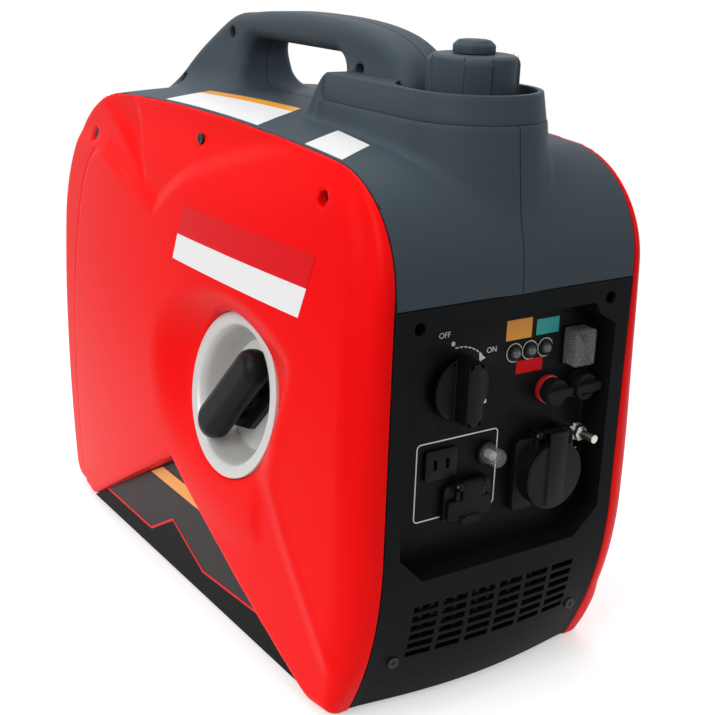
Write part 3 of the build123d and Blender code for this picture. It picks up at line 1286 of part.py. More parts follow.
def spark_plug():
    """The spark plug with its cap, upright on the head."""
    foot = CRANK_Z + HEAD_SIZE / 2
    place = Pos(CRANK_X + PLUG_OFFSET, HEAD_REAR - HEAD_LENGTH / 2, foot)
    plug = disc(PLUG_RADIUS, 0, PLUG_LENGTH / 3) + disc(PLUG_RADIUS - WALL, 0, PLUG_LENGTH)
    return place * (plug + disc(PLUG_RADIUS + 1, PLUG_LENGTH / 2, PLUG_LENGTH))


def ignition_coil():
    """The ignition coil beside the flywheel, on the cylinder's fins."""
    low = CRANK_Y + FLYWHEEL_RADIUS + COIL_AIR_GAP
    return span_box(CASE_LEFT - COIL_SIZE, CASE_LEFT, low, low + COIL_LENGTH,
                    CRANK_Z - COIL_HEIGHT / 2, CRANK_Z + COIL_HEIGHT / 2)


def carburettor():
    """The carburettor on the head, with its float bowl."""
    x = CRANK_X + CARBURETTOR_OFFSET
    middle = HEAD_REAR - HEAD_LENGTH / 2
    z = CRANK_Z + HEAD_SIZE / 2 + BOWL_DEPTH + CARBURETTOR_RADIUS
    half = CARBURETTOR_LENGTH / 2
    body = along_y(CARBURETTOR_RADIUS, middle - half, middle + half, x, z)
    return body + upright(BOWL_RADIUS, CRANK_Z + HEAD_SIZE / 2, z, x, middle)


def air_filter():
    """The air filter box behind the carburettor."""
    front = HEAD_REAR - HEAD_LENGTH / 2 + CARBURETTOR_LENGTH / 2
    x = CRANK_X + CARBURETTOR_OFFSET
    z = CRANK_Z + HEAD_SIZE / 2 + BOWL_DEPTH + CARBURETTOR_RADIUS
    place = Pos(x, front + FILTER_LENGTH / 2, z)
    box = Box(FILTER_WIDTH, FILTER_LENGTH, FILTER_HEIGHT)
    room = Box(FILTER_WIDTH - 2 * WALL, FILTER_LENGTH - 2 * WALL, FILTER_HEIGHT - 2 * WALL)
    return place * (fillet(box.edges().filter_by(Axis.Y), FILTER_ROUNDING) - room)


def oil_cap():
    """The oil filler cap on the right of the crankcase."""
    place = Pos(CASE_RIGHT, CRANK_Y, OIL_CAP_Z) * Rot(0, 90, 0)
    grip = block(2 * OIL_CAP_RADIUS - WALL, WALL, 0, OIL_CAP_HEIGHT)
    return place * (disc(OIL_CAP_RADIUS, 0, OIL_CAP_HEIGHT / 2) + grip)


def mount_places():
    """X and Y of the engine's rubber mounts."""
    xs = (CRANK_X - MOUNT_HALF_X, CRANK_X + MOUNT_HALF_X)
    ys = (CRANK_Y - MOUNT_HALF_Y, CRANK_Y + MOUNT_HALF_Y)
    return [(x, y) for x in xs for y in ys]


def engine_mounts():
    """The waisted rubber mounts between the base and the crankcase."""
    middle = (BASE_SEAM + CASE_LOW) / 2
    mounts = []
    for x, y in mount_places():
        low = Pos(x, y, (BASE_SEAM + middle) / 2) * Cone(MOUNT_RADIUS, MOUNT_WAIST, middle - BASE_SEAM)
        high = Pos(x, y, (middle + CASE_LOW) / 2) * Cone(MOUNT_WAIST, MOUNT_RADIUS, CASE_LOW - middle)
        mounts.append(low + high)
    return mounts


def inverter_module():
    """The inverter's finned case, behind the grille."""
    front = PLATE_BACK + INVERTER_GAP
    low = BASE_SEAM
    half = INVERTER_WIDTH / 2
    case = span_box(-half, half, front, front + INVERTER_DEPTH, low, low + INVERTER_HEIGHT)
    count = int(INVERTER_WIDTH / INVERTER_FIN_PITCH) - 1
    for number in range(count):
        x = (number - (count - 1) / 2) * INVERTER_FIN_PITCH
        case -= span_box(x - INVERTER_FIN_GAP / 2, x + INVERTER_FIN_GAP / 2,
                         front, front + INVERTER_FIN_DEPTH, low + WALL, low + INVERTER_HEIGHT)
    return case


def muffler():
    """The muffler at the rear, with its inlet from the head and its short tail pipe."""
    rear = HALF_LENGTH - MUFFLER_REAR_GAP
    front = rear - MUFFLER_LENGTH
    middle = Pos(CRANK_X, (front + rear) / 2, MUFFLER_LOW + MUFFLER_HEIGHT / 2)
    can = middle * Box(MUFFLER_WIDTH, MUFFLER_LENGTH, MUFFLER_HEIGHT)
    can = fillet(can.edges().filter_by(Axis.Y), MUFFLER_ROUNDING)
    room = Box(MUFFLER_WIDTH - 2 * SHEET, MUFFLER_LENGTH - 2 * SHEET, MUFFLER_HEIGHT - 2 * SHEET)
    can -= middle * fillet(room.edges().filter_by(Axis.Y), MUFFLER_ROUNDING - SHEET)
    inlet = HEAD_REAR + ROCKER_COVER_LENGTH
    return can + along_y(OUTLET_PIPE_RADIUS / 2, inlet, front, CRANK_X, CRANK_Z)


def exhaust_outlet():
    """The exhaust's guard ring and pipe in the rear cover, with a drilled spark arrestor."""
    end = HALF_LENGTH + OUTLET_PIPE_PROUD
    low = HALF_LENGTH - MUFFLER_REAR_GAP
    pipe = along_y(OUTLET_PIPE_RADIUS, low, end, OUTLET_PIPE_X, OUTLET_PIPE_Z)
    guard = along_y(OUTLET_GUARD_RADIUS, HALF_LENGTH - WALL, end, OUTLET_PIPE_X, OUTLET_PIPE_Z)
    bore = OUTLET_PIPE_RADIUS - OUTLET_PIPE_WALL
    pipe = guard + pipe
    pipe -= along_y(bore, low, end - OUTLET_GUARD - WALL, OUTLET_PIPE_X, OUTLET_PIPE_Z)
    pipe -= along_y(bore, end - OUTLET_GUARD, end, OUTLET_PIPE_X, OUTLET_PIPE_Z)
    for count, radius in ARRESTOR_RINGS:
        for number in range(count):
            angle = radians(number * 360 / count)
            x = OUTLET_PIPE_X + radius * cos(angle)
            z = OUTLET_PIPE_Z + radius * sin(angle)
            pipe -= along_y(ARRESTOR_HOLE, low, end, x, z)
    return pipe


def rear_screw_places():
    """X and Z of the rear cover's screws."""
    return [(side * REAR_SCREW_HALF, z) for side in (-1, 1) for z in REAR_SCREW_HEIGHTS]


def rear_cover(band):
    """The rear cover with its louvres, screw bosses and the exhaust's opening."""
    room = span_box(-BIG, BIG, 0, BIG, BASE_SEAM, COVER_SEAM)
    outer = side_prism(core_outline(), -SEAM_X, SEAM_X) & room
    cover = band & room
    for x, z in rear_screw_places():
        cover += outer & along_y(BEZEL_BOSS_RADIUS, HALF_LENGTH - REAR_TOP_RADIUS / 4, HALF_LENGTH, x, z)
    for x, z in rear_screw_places():
        seat = HALF_LENGTH - BEZEL_SCREW_SINK
        cover -= along_y(SCREW_HEAD_RADIUS + PLAY, seat, HALF_LENGTH, x, z)
        cover -= along_y(SCREW_RADIUS + PLAY, 0, HALF_LENGTH, x, z)
    for number in range(LOUVRE_COUNT):
        z = LOUVRE_LOW + number * LOUVRE_PITCH
        cover -= Pos(LOUVRE_X, HALF_LENGTH, z) * Box(LOUVRE_WIDTH, 4 * WALL, LOUVRE_HEIGHT)
    return cover - along_y(OUTLET_GUARD_RADIUS, 0, HALF_LENGTH, OUTLET_PIPE_X, OUTLET_PIPE_Z)


def rear_screws():
    """The screws of the rear cover."""
    seat = HALF_LENGTH - BEZEL_SCREW_SINK
    return [Pos(x, seat, z) * Rot(-90, 0, 0) * cross_screw() for x, z in rear_screw_places()]


def base_tray(band):
    """The base: the band's foot, a skirt in each side panel's notch, and its inner bosses."""
    room = span_box(-BIG, BIG, -BIG, BIG, 0, BASE_SEAM)
    base = band & room
    ground = Pos(0, FOOT_HEIGHT + BIG / 2) * Rectangle(BIG, BIG)
    floor = span_box(-BIG, BIG, -BIG, BIG, 0, FOOT_HEIGHT + WALL)
    outer = notch_outline(-SKIRT_GAP) & ground
    inner = notch_outline(-SKIRT_GAP - WALL) & ground
    reach = SEAM_X + SKIRT_STEP
    for side in (-1, 1):
        skirt = side_prism(outer, side * (SEAM_X - WALL), side * reach)
        skirt -= side_prism(inner, side * (SEAM_X - 2 * WALL), side * (reach - WALL)) - floor
        base += skirt
    for x, y in mount_places():
        base += upright(BASE_BOSS_RADIUS, FOOT_HEIGHT, BASE_SEAM, x, y)
    rear = PLATE_BACK + INVERTER_GAP + INVERTER_DEPTH
    for side in (-1, 1):
        x = side * INVERTER_WIDTH / 3
        base += span_box(x - BASE_BOSS_RADIUS, x + BASE_BOSS_RADIUS, rear - BASE_BOSS_RADIUS, rear,
                         FOOT_HEIGHT, BASE_SEAM)
    return base


def rubber_feet():
    """The four rubber feet under the base."""
    foot = chamfer(disc(FOOT_RADIUS, 0, FOOT_HEIGHT).edges().sort_by(Axis.Z)[0], FOOT_CHAMFER)
    return [Pos(x, y, 0) * foot for x in (-FOOT_HALF_X, FOOT_HALF_X) for y in (FOOT_FRONT, FOOT_REAR)]


def build_parts():
    """Every piece by its name; a list is a group of separate solids."""
    band = body_band()
    cover = upper_cover(band)
    left = span_box(-BIG, 0, -BIG, BIG, -BIG, BIG)
    right = span_box(0, BIG, -BIG, BIG, -BIG, BIG)
    return {
        "left_side_panel": left_panel(),
        "right_side_panel": side_panel(),
        "upper_cover_left": cover & left,
        "upper_cover_right": cover & right,
        "filler_collar": filler_collar(),
        "fuel_cap": fuel_cap(),
        "fuel_cap_gasket": cap_gasket(),
        "vent_knob": vent_knob(),
        "filler_neck": filler_neck(),
        "fuel_tank": fuel_tank(),
        "front_bezel": front_bezel(band),
        "control_panel": control_panel(),
        "engine_switch_knob": switch_knob(),
        "engine_switch_shaft": switch_shaft(),
        "engine_switch_body": switch_body(),
        "lamp_rings": lamp_rings(),
        "indicator_lamps": indicator_lamps(),
        "economy_switch_body": rocker_body(),
        "economy_rocker": rocker_paddle(),
        "economy_switch_boot": rocker_boot(),
        "parallel_socket_left": parallel_socket(PARALLEL_XS[0]),
        "parallel_socket_right": parallel_socket(PARALLEL_XS[1]),
        "parallel_cap_left": parallel_cap(PARALLEL_XS[0]),
        "parallel_cap_right": parallel_cap(PARALLEL_XS[1]),
        "mains_outlet": outlet_body(),
        "mains_outlet_lid": outlet_lid(),
        "low_voltage_outlet": low_outlet(),
        "breaker_body": breaker_body(),
        "breaker_button": breaker_button(),
        "breaker_boot": breaker_boot(),
        "charging_port": port_frame(),
        "charging_port_flap": port_flap(),
        "hinge_pins": [lid_pin(), flap_pin()],
        "earth_stud": earth_stud(),
        "earth_nut_and_washers": earth_nuts(),
        "starter_dish": starter_dish(),
        "rope_guide": rope_guide(),
        "starter_grip": starter_grip(),
        "starter_rope": starter_rope(),
        "starter_housing": starter_housing(),
        "starter_reel": starter_reel(),
        "flywheel": flywheel(),
        "stator": stator(),
        "crankshaft": crankshaft(),
        "crankcase": crankcase(),
        "cylinder": cylinder(),
        "cylinder_head": cylinder_head(),
        "piston_and_rod": [piston(), connecting_rod()],
        "ignition_parts": [spark_plug(), ignition_coil()],
        "carburettor": carburettor(),
        "air_filter": air_filter(),
        "muffler": muffler(),
        "inverter_module": inverter_module(),
        "oil_cap": oil_cap(),
        "engine_mounts": engine_mounts(),
        "rear_cover": rear_cover(band),
        "exhaust_outlet": exhaust_outlet(),
        "case_screws": panel_screws() + handle_screws() + bezel_screws() + rear_screws() + guide_screws(),
        "base_tray": base_tray(band),
        "rubber_feet": rubber_feet(),
    }


def write_parts():
    """One file for each piece or group."""
    os.makedirs("parts", exist_ok=True)
    for name, shape in build_parts().items():
        solids = Compound(children=list(shape)) if isinstance(shape, list) else shape
        export_step(solids, f"parts/{name}.step")


write_parts()
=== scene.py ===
"""Looks, light and camera of a portable inverter generator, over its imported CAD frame.

Lengths are written in millimetres and turned into metres where a mesh is made.
+X is the right side as the control panel is faced, -Y is the control panel end, +Z is up.
"""

import json
import logging
import math
from dataclasses import dataclass
from enum import Enum
from typing import Callable, Sequence

import bmesh
import bpy
import numpy as np
from mathutils import Matrix, Vector

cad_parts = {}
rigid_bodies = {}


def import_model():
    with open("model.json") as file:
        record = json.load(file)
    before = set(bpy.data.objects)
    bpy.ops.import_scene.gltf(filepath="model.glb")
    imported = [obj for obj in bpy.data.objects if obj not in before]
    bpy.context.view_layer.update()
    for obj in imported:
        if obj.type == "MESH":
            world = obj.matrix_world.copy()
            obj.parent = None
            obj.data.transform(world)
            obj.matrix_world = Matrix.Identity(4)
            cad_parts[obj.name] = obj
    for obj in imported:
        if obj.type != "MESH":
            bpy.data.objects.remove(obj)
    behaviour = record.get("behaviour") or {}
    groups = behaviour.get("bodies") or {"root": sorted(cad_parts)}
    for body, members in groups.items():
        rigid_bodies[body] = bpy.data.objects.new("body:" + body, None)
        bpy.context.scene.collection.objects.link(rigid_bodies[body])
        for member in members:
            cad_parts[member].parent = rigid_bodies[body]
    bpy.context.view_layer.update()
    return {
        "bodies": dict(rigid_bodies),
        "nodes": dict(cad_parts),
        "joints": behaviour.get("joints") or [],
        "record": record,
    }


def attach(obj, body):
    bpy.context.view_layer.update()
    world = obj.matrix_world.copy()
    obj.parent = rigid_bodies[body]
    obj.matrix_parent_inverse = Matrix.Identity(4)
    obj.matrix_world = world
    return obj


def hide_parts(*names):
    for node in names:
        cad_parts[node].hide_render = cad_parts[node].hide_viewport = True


LOG = logging.getLogger("generator")
MM = 0.001
HOUSING = "housing"

WELD = 0.005
LONGEST_EDGE = 12.0
CUT_MERGE = 0.02
SOFT_ANGLE = 32.0
SHELL_ANGLE = 12.0
RIM_ANGLE = 55.0
FORM_ANGLE = 50.0
FOIL_ANGLE = 40.0

COLOUR_SOCKET = "NodeSocketColor"
VALUE_SOCKET = "NodeSocketFloat"
VECTOR_SOCKET = "NodeSocketVector"

Points = np.ndarray
Field = Callable[[Points], np.ndarray]
Step = Callable[[bpy.types.Object], None]
Colour = tuple[float, float, float]
Place = tuple[float, float, float]
Flat = tuple[float, float]
Run = tuple[Flat, ...]
Span = tuple[float, float]
Box = tuple[float, float, float, float]


class Side(Enum):
    """The two sides of the body, by the sign of X."""

    LEFT = -1
    RIGHT = 1


class Texture(Enum):
    """How a finish breaks up the light: the scale of its grain along X, Y and Z, per metre."""

    SATIN = (1400.0, 1400.0, 1400.0)
    ORANGE_PEEL = (260.0, 260.0, 260.0)
    CAST = (700.0, 700.0, 700.0)
    BRUSHED = (90.0, 2600.0, 2600.0)
    WOVEN = (900.0, 900.0, 2400.0)


# Node trees and finishes


def set_inputs(node: bpy.types.Node, values: dict[str | int, object]) -> None:
    """Sets a node's inputs, each given by its name or number."""
    for key, value in values.items():
        node.inputs[key].default_value = value


def add_node(tree: bpy.types.NodeTree, kind: str, inputs: dict[str | int, object] | None = None,
             **settings: object) -> bpy.types.Node:
    """A new node in a tree.

    Args:
        tree: where the node goes.
        kind: the node's type.
        inputs: the values of its inputs, by name or number.
        settings: its other settings, by name.

    Returns:
        The node.
    """
    node = tree.nodes.new(kind)
    for name, value in settings.items():
        setattr(node, name, value)
    set_inputs(node, inputs or {})
    return node


def wire(tree: bpy.types.NodeTree, *runs: tuple) -> None:
    """Links the nodes of a tree.

    Args:
        tree: the tree that the nodes are in.
        runs: for each link, the node that it leaves, the output, the node that it enters and the input.
    """
    for start, output, end, entry in runs:
        tree.links.new(start.outputs[output], end.inputs[entry])


def new_tree(kind: str, name: str, inputs: Sequence[tuple[str, str, object]],
             outputs: Sequence[tuple[str, str]]) -> tuple[bpy.types.NodeTree, bpy.types.Node, bpy.types.Node]:
    """An empty node tree with named sockets.

    Args:
        kind: the tree's type.
        name: the tree's name.
        inputs: name, socket type and default value, or None, of each input.
        outputs: name and socket type of each output.

    Returns:
        The tree, its input node and its output node.
    """
    tree = bpy.data.node_groups.new(name, kind)
    for label, socket_type, value in inputs:
        socket = tree.interface.new_socket(label, in_out="INPUT", socket_type=socket_type)
        if value is not None:
            socket.default_value = value
    for label, socket_type in outputs:
        tree.interface.new_socket(label, in_out="OUTPUT", socket_type=socket_type)
    return tree, add_node(tree, "NodeGroupInput"), add_node(tree, "NodeGroupOutput")


class SurfaceGroups:
    """The shader groups that the finishes share: slow changes of tone, and grain."""

    def __init__(self) -> None:
        """Builds both groups once."""
        self.tone = self._tone_group()
        self.grain = self._grain_group()

    @staticmethod
    def _tone_group() -> bpy.types.NodeTree:
        """Colour and roughness that drift a little over the surface, with faint handling marks.

        Returns:
            The shader group.
        """
        group, source, sink = new_tree(
            "ShaderNodeTree",
            "surface_tone",
            [
                ("Vector", VECTOR_SOCKET, None),
                ("Colour", COLOUR_SOCKET, (0.5, 0.5, 0.5, 1.0)),
                ("Worn Colour", COLOUR_SOCKET, (0.6, 0.6, 0.6, 1.0)),
                ("Roughness", VALUE_SOCKET, 0.5),
                ("Drift", VALUE_SOCKET, 0.1),
            ],
            [("Colour", COLOUR_SOCKET), ("Roughness", VALUE_SOCKET)],
        )
        broad = add_node(group, "ShaderNodeTexNoise", {"Scale": 9.0, "Detail": 3.0})
        fine = add_node(group, "ShaderNodeTexNoise", {"Scale": 160.0, "Detail": 4.0})
        both = add_node(group, "ShaderNodeMath", operation="MULTIPLY")
        share = add_node(group, "ShaderNodeMath", operation="MULTIPLY")
        mix = add_node(group, "ShaderNodeMix", data_type="RGBA")
        worn_roughness = 0.45
        rough = add_node(group, "ShaderNodeMath", {1: worn_roughness}, operation="MULTIPLY_ADD")
        wire(
            group,
            (source, "Vector", broad, "Vector"),
            (source, "Vector", fine, "Vector"),
            (broad, "Fac", both, 0),
            (fine, "Fac", both, 1),
            (both, 0, share, 0),
            (source, "Drift", share, 1),
            (share, 0, mix, "Factor"),
            (source, "Colour", mix, "A"),
            (source, "Worn Colour", mix, "B"),
            (share, 0, rough, 0),
            (source, "Roughness", rough, 2),
            (mix, "Result", sink, "Colour"),
            (rough, 0, sink, "Roughness"),
        )
        return group

    @staticmethod
    def _grain_group() -> bpy.types.NodeTree:
        """The height of a moulded, cast, brushed or braided grain.

        Returns:
            The shader group.
        """
        group, source, sink = new_tree(
            "ShaderNodeTree",
            "surface_grain",
            [
                ("Vector", VECTOR_SOCKET, None),
                ("Stretch", VECTOR_SOCKET, (1000.0, 1000.0, 1000.0)),
                ("Pebble", VALUE_SOCKET, 0.4),
            ],
            [("Height", VALUE_SOCKET)],
        )
        scaled = add_node(group, "ShaderNodeVectorMath", operation="MULTIPLY")
        noise = add_node(group, "ShaderNodeTexNoise", {"Scale": 1.0, "Detail": 2.0})
        cells = add_node(group, "ShaderNodeTexVoronoi", {"Scale": 0.8})
        blend = add_node(group, "ShaderNodeMix", data_type="FLOAT")
        wire(
            group,
            (source, "Vector", scaled, 0),
            (source, "Stretch", scaled, 1),
            (scaled, "Vector", noise, "Vector"),
            (scaled, "Vector", cells, "Vector"),
            (source, "Pebble", blend, "Factor"),
            (noise, "Fac", blend, "A"),
            (cells, "Distance", blend, "B"),
            (blend, "Result", sink, "Height"),
        )
        return group


@dataclass(frozen=True)
class Finish:
    """One finish: its colours, gloss and grain.

    The colours are linear. Drift is how far the worn colour shows through, depth is how strong the grain is,
    and relief is how high the grain stands, in millimetres.
    """

    name: str
    slot: str
    colour: Colour
    worn: Colour
    roughness: float
    drift: float = 0.12
    metallic: float = 0.0
    grain: Texture = Texture.SATIN
    depth: float = 0.06
    relief: float = 0.4
    pebble: float = 0.4
    specular: float = 0.5
    alpha: float = 1.0

    def material(self, groups: SurfaceGroups) -> bpy.types.Material:
        """The finish as a material, made once and then reused.

        Args:
            groups: the shared shader groups.

        Returns:
            The material.
        """
        label = f"look_{self.name}"
        if label in bpy.data.materials:
            return bpy.data.materials[label]
        material = bpy.data.materials.new(label)
        material.use_nodes = True
        material.diffuse_color = (*self.colour, 1.0)
        tree = material.node_tree
        shader = tree.nodes["Principled BSDF"]
        set_inputs(shader, {
            "Metallic": self.metallic,
            "Specular IOR Level": self.specular,
            "Alpha": self.alpha,
        })
        place = add_node(tree, "ShaderNodeTexCoord")
        tone = add_node(tree, "ShaderNodeGroup", {
            "Colour": (*self.colour, 1.0),
            "Worn Colour": (*self.worn, 1.0),
            "Roughness": self.roughness,
            "Drift": self.drift,
        }, node_tree=groups.tone)
        grain = add_node(tree, "ShaderNodeGroup", {
            "Stretch": self.grain.value,
            "Pebble": self.pebble,
        }, node_tree=groups.grain)
        bump = add_node(tree, "ShaderNodeBump", {"Strength": self.depth, "Distance": self.relief * MM})
        wire(
            tree,
            (place, "Object", tone, "Vector"),
            (place, "Object", grain, "Vector"),
            (grain, "Height", bump, "Height"),
            (tone, "Colour", shader, "Base Color"),
            (tone, "Roughness", shader, "Roughness"),
            (bump, "Normal", shader, "Normal"),
        )
        return material


RED_SHELL = Finish("red_shell", "red_plastic", (0.86, 0.0035, 0.004), (0.88, 0.008, 0.008), 0.36,
                   grain=Texture.ORANGE_PEEL, depth=0.03, pebble=0.1, specular=0.05)
DARK_SHELL = Finish("dark_shell", "dark_plastic", (0.043, 0.059, 0.073), (0.062, 0.079, 0.092), 0.5,
                    depth=0.12, specular=0.1)
FRONT_SHELL = Finish("front_shell", "dark_plastic", (0.0042, 0.0052, 0.0058), (0.010, 0.012, 0.013), 0.5,
                     depth=0.12, specular=0.05)
BLACK_PLATE = Finish("black_plate", "black_plastic", (0.0045, 0.005, 0.0052), (0.01, 0.01, 0.01), 0.42,
                     depth=0.08, specular=0.06)
BLACK_PLASTIC = Finish("black_plastic", "black_plastic", (0.0048, 0.0053, 0.0056), (0.011, 0.011, 0.011),
                       0.34, depth=0.06, specular=0.09)
INNER_PLASTIC = Finish("inner_plastic", "black_plastic", (0.02, 0.02, 0.021), (0.04, 0.04, 0.04), 0.55)
RED_SOCKET = Finish("red_socket", "red_socket", (0.55, 0.012, 0.012), (0.6, 0.05, 0.05), 0.32)
RUBBER = Finish("rubber", "rubber", (0.0065, 0.0065, 0.0068), (0.014, 0.014, 0.014), 0.6,
                depth=0.16, specular=0.1)
CLEAR_PLASTIC = Finish("clear_plastic", "clear_plastic", (0.34, 0.36, 0.37), (0.4, 0.42, 0.43), 0.08,
                       depth=0.002, alpha=0.2)
LENS = Finish("lamp_lens", "lamp_lens", (0.09, 0.095, 0.085), (0.14, 0.14, 0.12), 0.08, depth=0.02)
WHITE_PLASTIC = Finish("white_plastic", "white_plastic", (0.72, 0.72, 0.71), (0.62, 0.61, 0.6), 0.4)
BRIGHT_BOWL = Finish("bright_bowl", "bright_alloy", (0.58, 0.58, 0.565), (0.53, 0.53, 0.52), 0.38,
                     drift=0.1, metallic=0.25, grain=Texture.CAST, depth=0.02, pebble=0.0)
CAST_ALLOY = Finish("cast_alloy", "cast_alloy", (0.45, 0.45, 0.46), (0.3, 0.3, 0.3), 0.48,
                    metallic=1.0, grain=Texture.CAST, depth=0.25)
PLATED_STEEL = Finish("plated_steel", "steel", (0.60, 0.58, 0.53), (0.42, 0.4, 0.36), 0.28,
                      metallic=1.0, grain=Texture.BRUSHED, depth=0.05, pebble=0.0)
# Painted shade: near black on the inverter module behind the front grille, so the slots read dark as the
# shade inside the case does.
GRILLE_SHADE_ALLOY = Finish("grille_shade_alloy", "dark_steel", (0.03, 0.03, 0.032), (0.05, 0.05, 0.05), 0.55,
                    metallic=0.5, grain=Texture.CAST, depth=0.15)
DARK_STEEL = Finish("dark_steel", "dark_steel", (0.02, 0.02, 0.022), (0.07, 0.07, 0.07), 0.4,
                    metallic=0.6, grain=Texture.CAST, depth=0.1)
ROPE = Finish("braided_rope", "rope", (0.02, 0.02, 0.02), (0.05, 0.05, 0.05), 0.8,
              grain=Texture.WOVEN, depth=0.5)
WHITE_INK = Finish("white_ink", "white_plastic", (0.78, 0.78, 0.77), (0.68, 0.68, 0.67), 0.45, depth=0.02)
WHITE_FOIL = Finish("white_foil", "white_plastic", (0.80, 0.80, 0.80), (0.72, 0.72, 0.71), 0.36, depth=0.02)
RED_FOIL = Finish("red_foil", "red_plastic", (0.68, 0.003, 0.008), (0.7, 0.008, 0.012), 0.36,
                  depth=0.02, specular=0.1)
AMBER_FOIL = Finish("amber_foil", "white_plastic", (0.83, 0.33, 0.02), (0.75, 0.3, 0.03), 0.36, depth=0.02)
TEAL_FOIL = Finish("teal_foil", "white_plastic", (0.0, 0.33, 0.30), (0.02, 0.3, 0.28), 0.36, depth=0.02)
DARK_FOIL = Finish("dark_foil", "dark_plastic", (0.020, 0.018, 0.018), (0.028, 0.026, 0.026), 0.4,
                   depth=0.03, specular=0.1)


# Meshes


class Bench:
    """Makes finished pieces and puts them on their CAD bodies."""

    def __init__(self, frame: dict) -> None:
        """Keeps the loaded frame and builds the shared shader groups.
        """
        self.frame = frame
        self.groups = SurfaceGroups()
        bodies = frame["record"]["behaviour"]["bodies"]
        self.bodies = {node: body for body, nodes in bodies.items() for node in nodes}

    def add(self, name: str, mesh: bpy.types.Mesh, finish: Finish, body: str = HOUSING,
            replaced: Sequence[str] = ()) -> bpy.types.Object:
        """Links a mesh as a piece of the object.

        Args:
            name: the piece's name.
            mesh: its mesh, in place and in metres.
            finish: what it is finished in.
            body: the CAD body that it moves with.
            replaced: the CAD nodes that it stands for.

        Returns:
            The new object.
        """
        piece = bpy.data.objects.new(name, mesh)
        bpy.context.scene.collection.objects.link(piece)
        mesh.materials.clear()
        mesh.materials.append(finish.material(self.groups))
        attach(piece, body)
        if replaced:
            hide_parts(*replaced)
        LOG.info("%s: %d faces on %s", name, len(mesh.polygons), body)
        return piece

    def dress(self, node: str, finish: Finish) -> None:
        """Gives a CAD node that stays as it is a better material.

        Args:
            node: the node's name.
            finish: what it is finished in.
        """
        mesh = self.frame["nodes"][node].data
        mesh.materials.clear()
        mesh.materials.append(finish.material(self.groups))
        LOG.info("%s: CAD solid in %s", node, finish.name)

    def soften(self, node: str, finish: Finish, edge: float, smooth: float = SOFT_ANGLE,
               bend: Callable[[Points], Points] | None = None) -> bpy.types.Object:
        """A smoothly shaded copy of a CAD node, its edges rounded where asked, in place of the node.

        Args:
            node: the node's name.
            finish: what it is finished in.
            edge: the width of the rounding in millimetres, or 0 to leave the edges as they are.
            smooth: the angle in degrees up to which faces shade as one surface.
            bend: moves the copy's points, in millimetres, or None.

        Returns:
            The new object.
        """
        form = bmesh.new()
        form.from_mesh(self.frame["nodes"][node].data)
        bmesh.ops.remove_doubles(form, verts=form.verts, dist=WELD * MM)
        if bend:
            even_out(form, LONGEST_EDGE)
            moved = bend(np.array([vert.co for vert in form.verts]) / MM) * MM
            for vert, place in zip(form.verts, moved):
                vert.co = place
        mesh = bpy.data.meshes.new(node)
        form.to_mesh(mesh)
        form.free()
        if edge:
            mesh = self.finished(mesh, [bevel_step(edge, smooth)])
        shade(mesh, smooth)
        return self.add(f"{node}_moulding", mesh, finish, self.bodies[node], [node])

    @staticmethod
    def finished(mesh: bpy.types.Mesh, steps: Sequence[Step]) -> bpy.types.Mesh:
        """The mesh after some modifiers, which are then gone.

        Args:
            mesh: the mesh to start from.
            steps: functions that each add one modifier to an object.

        Returns:
            The new mesh.
        """
        carrier = bpy.data.objects.new("carrier", mesh)
        bpy.context.scene.collection.objects.link(carrier)
        for step in steps:
            step(carrier)
        graph = bpy.context.evaluated_depsgraph_get()
        result = bpy.data.meshes.new_from_object(carrier.evaluated_get(graph))
        result.name = mesh.name
        bpy.data.objects.remove(carrier)
        bpy.data.meshes.remove(mesh)
        return result


def even_out(form: bmesh.types.BMesh, longest: float, rounds: int = 5, flat: float = 0.005) -> None:
    """Splits long edges and evens out the triangles on flat faces, with the shape left as it is.

    Args:
        form: the mesh to work on.
        longest: the longest edge that is left alone, in millimetres.
        rounds: how many times at most.
        flat: the angle in radians below which two faces count as one flat face.
    """
    for _ in range(rounds):
        long = [edge for edge in form.edges if edge.calc_length() > longest * MM]
        if not long:
            return
        bmesh.ops.subdivide_edges(form, edges=long, cuts=1)
        bmesh.ops.triangulate(form, faces=form.faces[:])
        inner = [edge for edge in form.edges if len(edge.link_faces) == 2 and edge.calc_face_angle() < flat]
        bmesh.ops.beautify_fill(form, faces=form.faces[:], edges=inner)


@dataclass(frozen=True)
class FootBow:
    """The bow of the front end's foot, forward in the middle, which fades out upwards and to the rear."""

    reach: float = 9.0
    half_width: float = 95.0
    fullness: float = 1.2
    along: Span = (-195.0, -150.0)
    up: Span = (10.0, 118.0)

    def __call__(self, points: Points) -> Points:
        """Moves points forward.

        Args:
            points: points in millimetres, one a row.

        Returns:
            The moved points.
        """
        moved = points.copy()
        share = np.maximum(1.0 - (points[:, 0] / self.half_width) ** 2, 0.0) ** self.fullness
        share *= 1.0 - smooth_ramp(points[:, 1], *self.along)
        moved[:, 1] -= self.reach * share * (1.0 - smooth_ramp(points[:, 2], *self.up))
        return moved


def bevel_step(width: float, angle: float, segments: int = 2) -> Step:
    """A step that rounds the edges sharper than an angle.

    Args:
        width: the width in millimetres.
        angle: the angle in degrees.
        segments: how many faces the rounding has across.

    Returns:
        A function that adds the modifier.
    """

    def step(carrier: bpy.types.Object) -> None:
        """Adds the modifier.

        Args:
            carrier: the object to add it to.
        """
        bevel = carrier.modifiers.new("rounded_edges", "BEVEL")
        bevel.width = width * MM
        bevel.segments = segments
        bevel.limit_method = "ANGLE"
        bevel.angle_limit = math.radians(angle)
        bevel.use_clamp_overlap = False

    return step


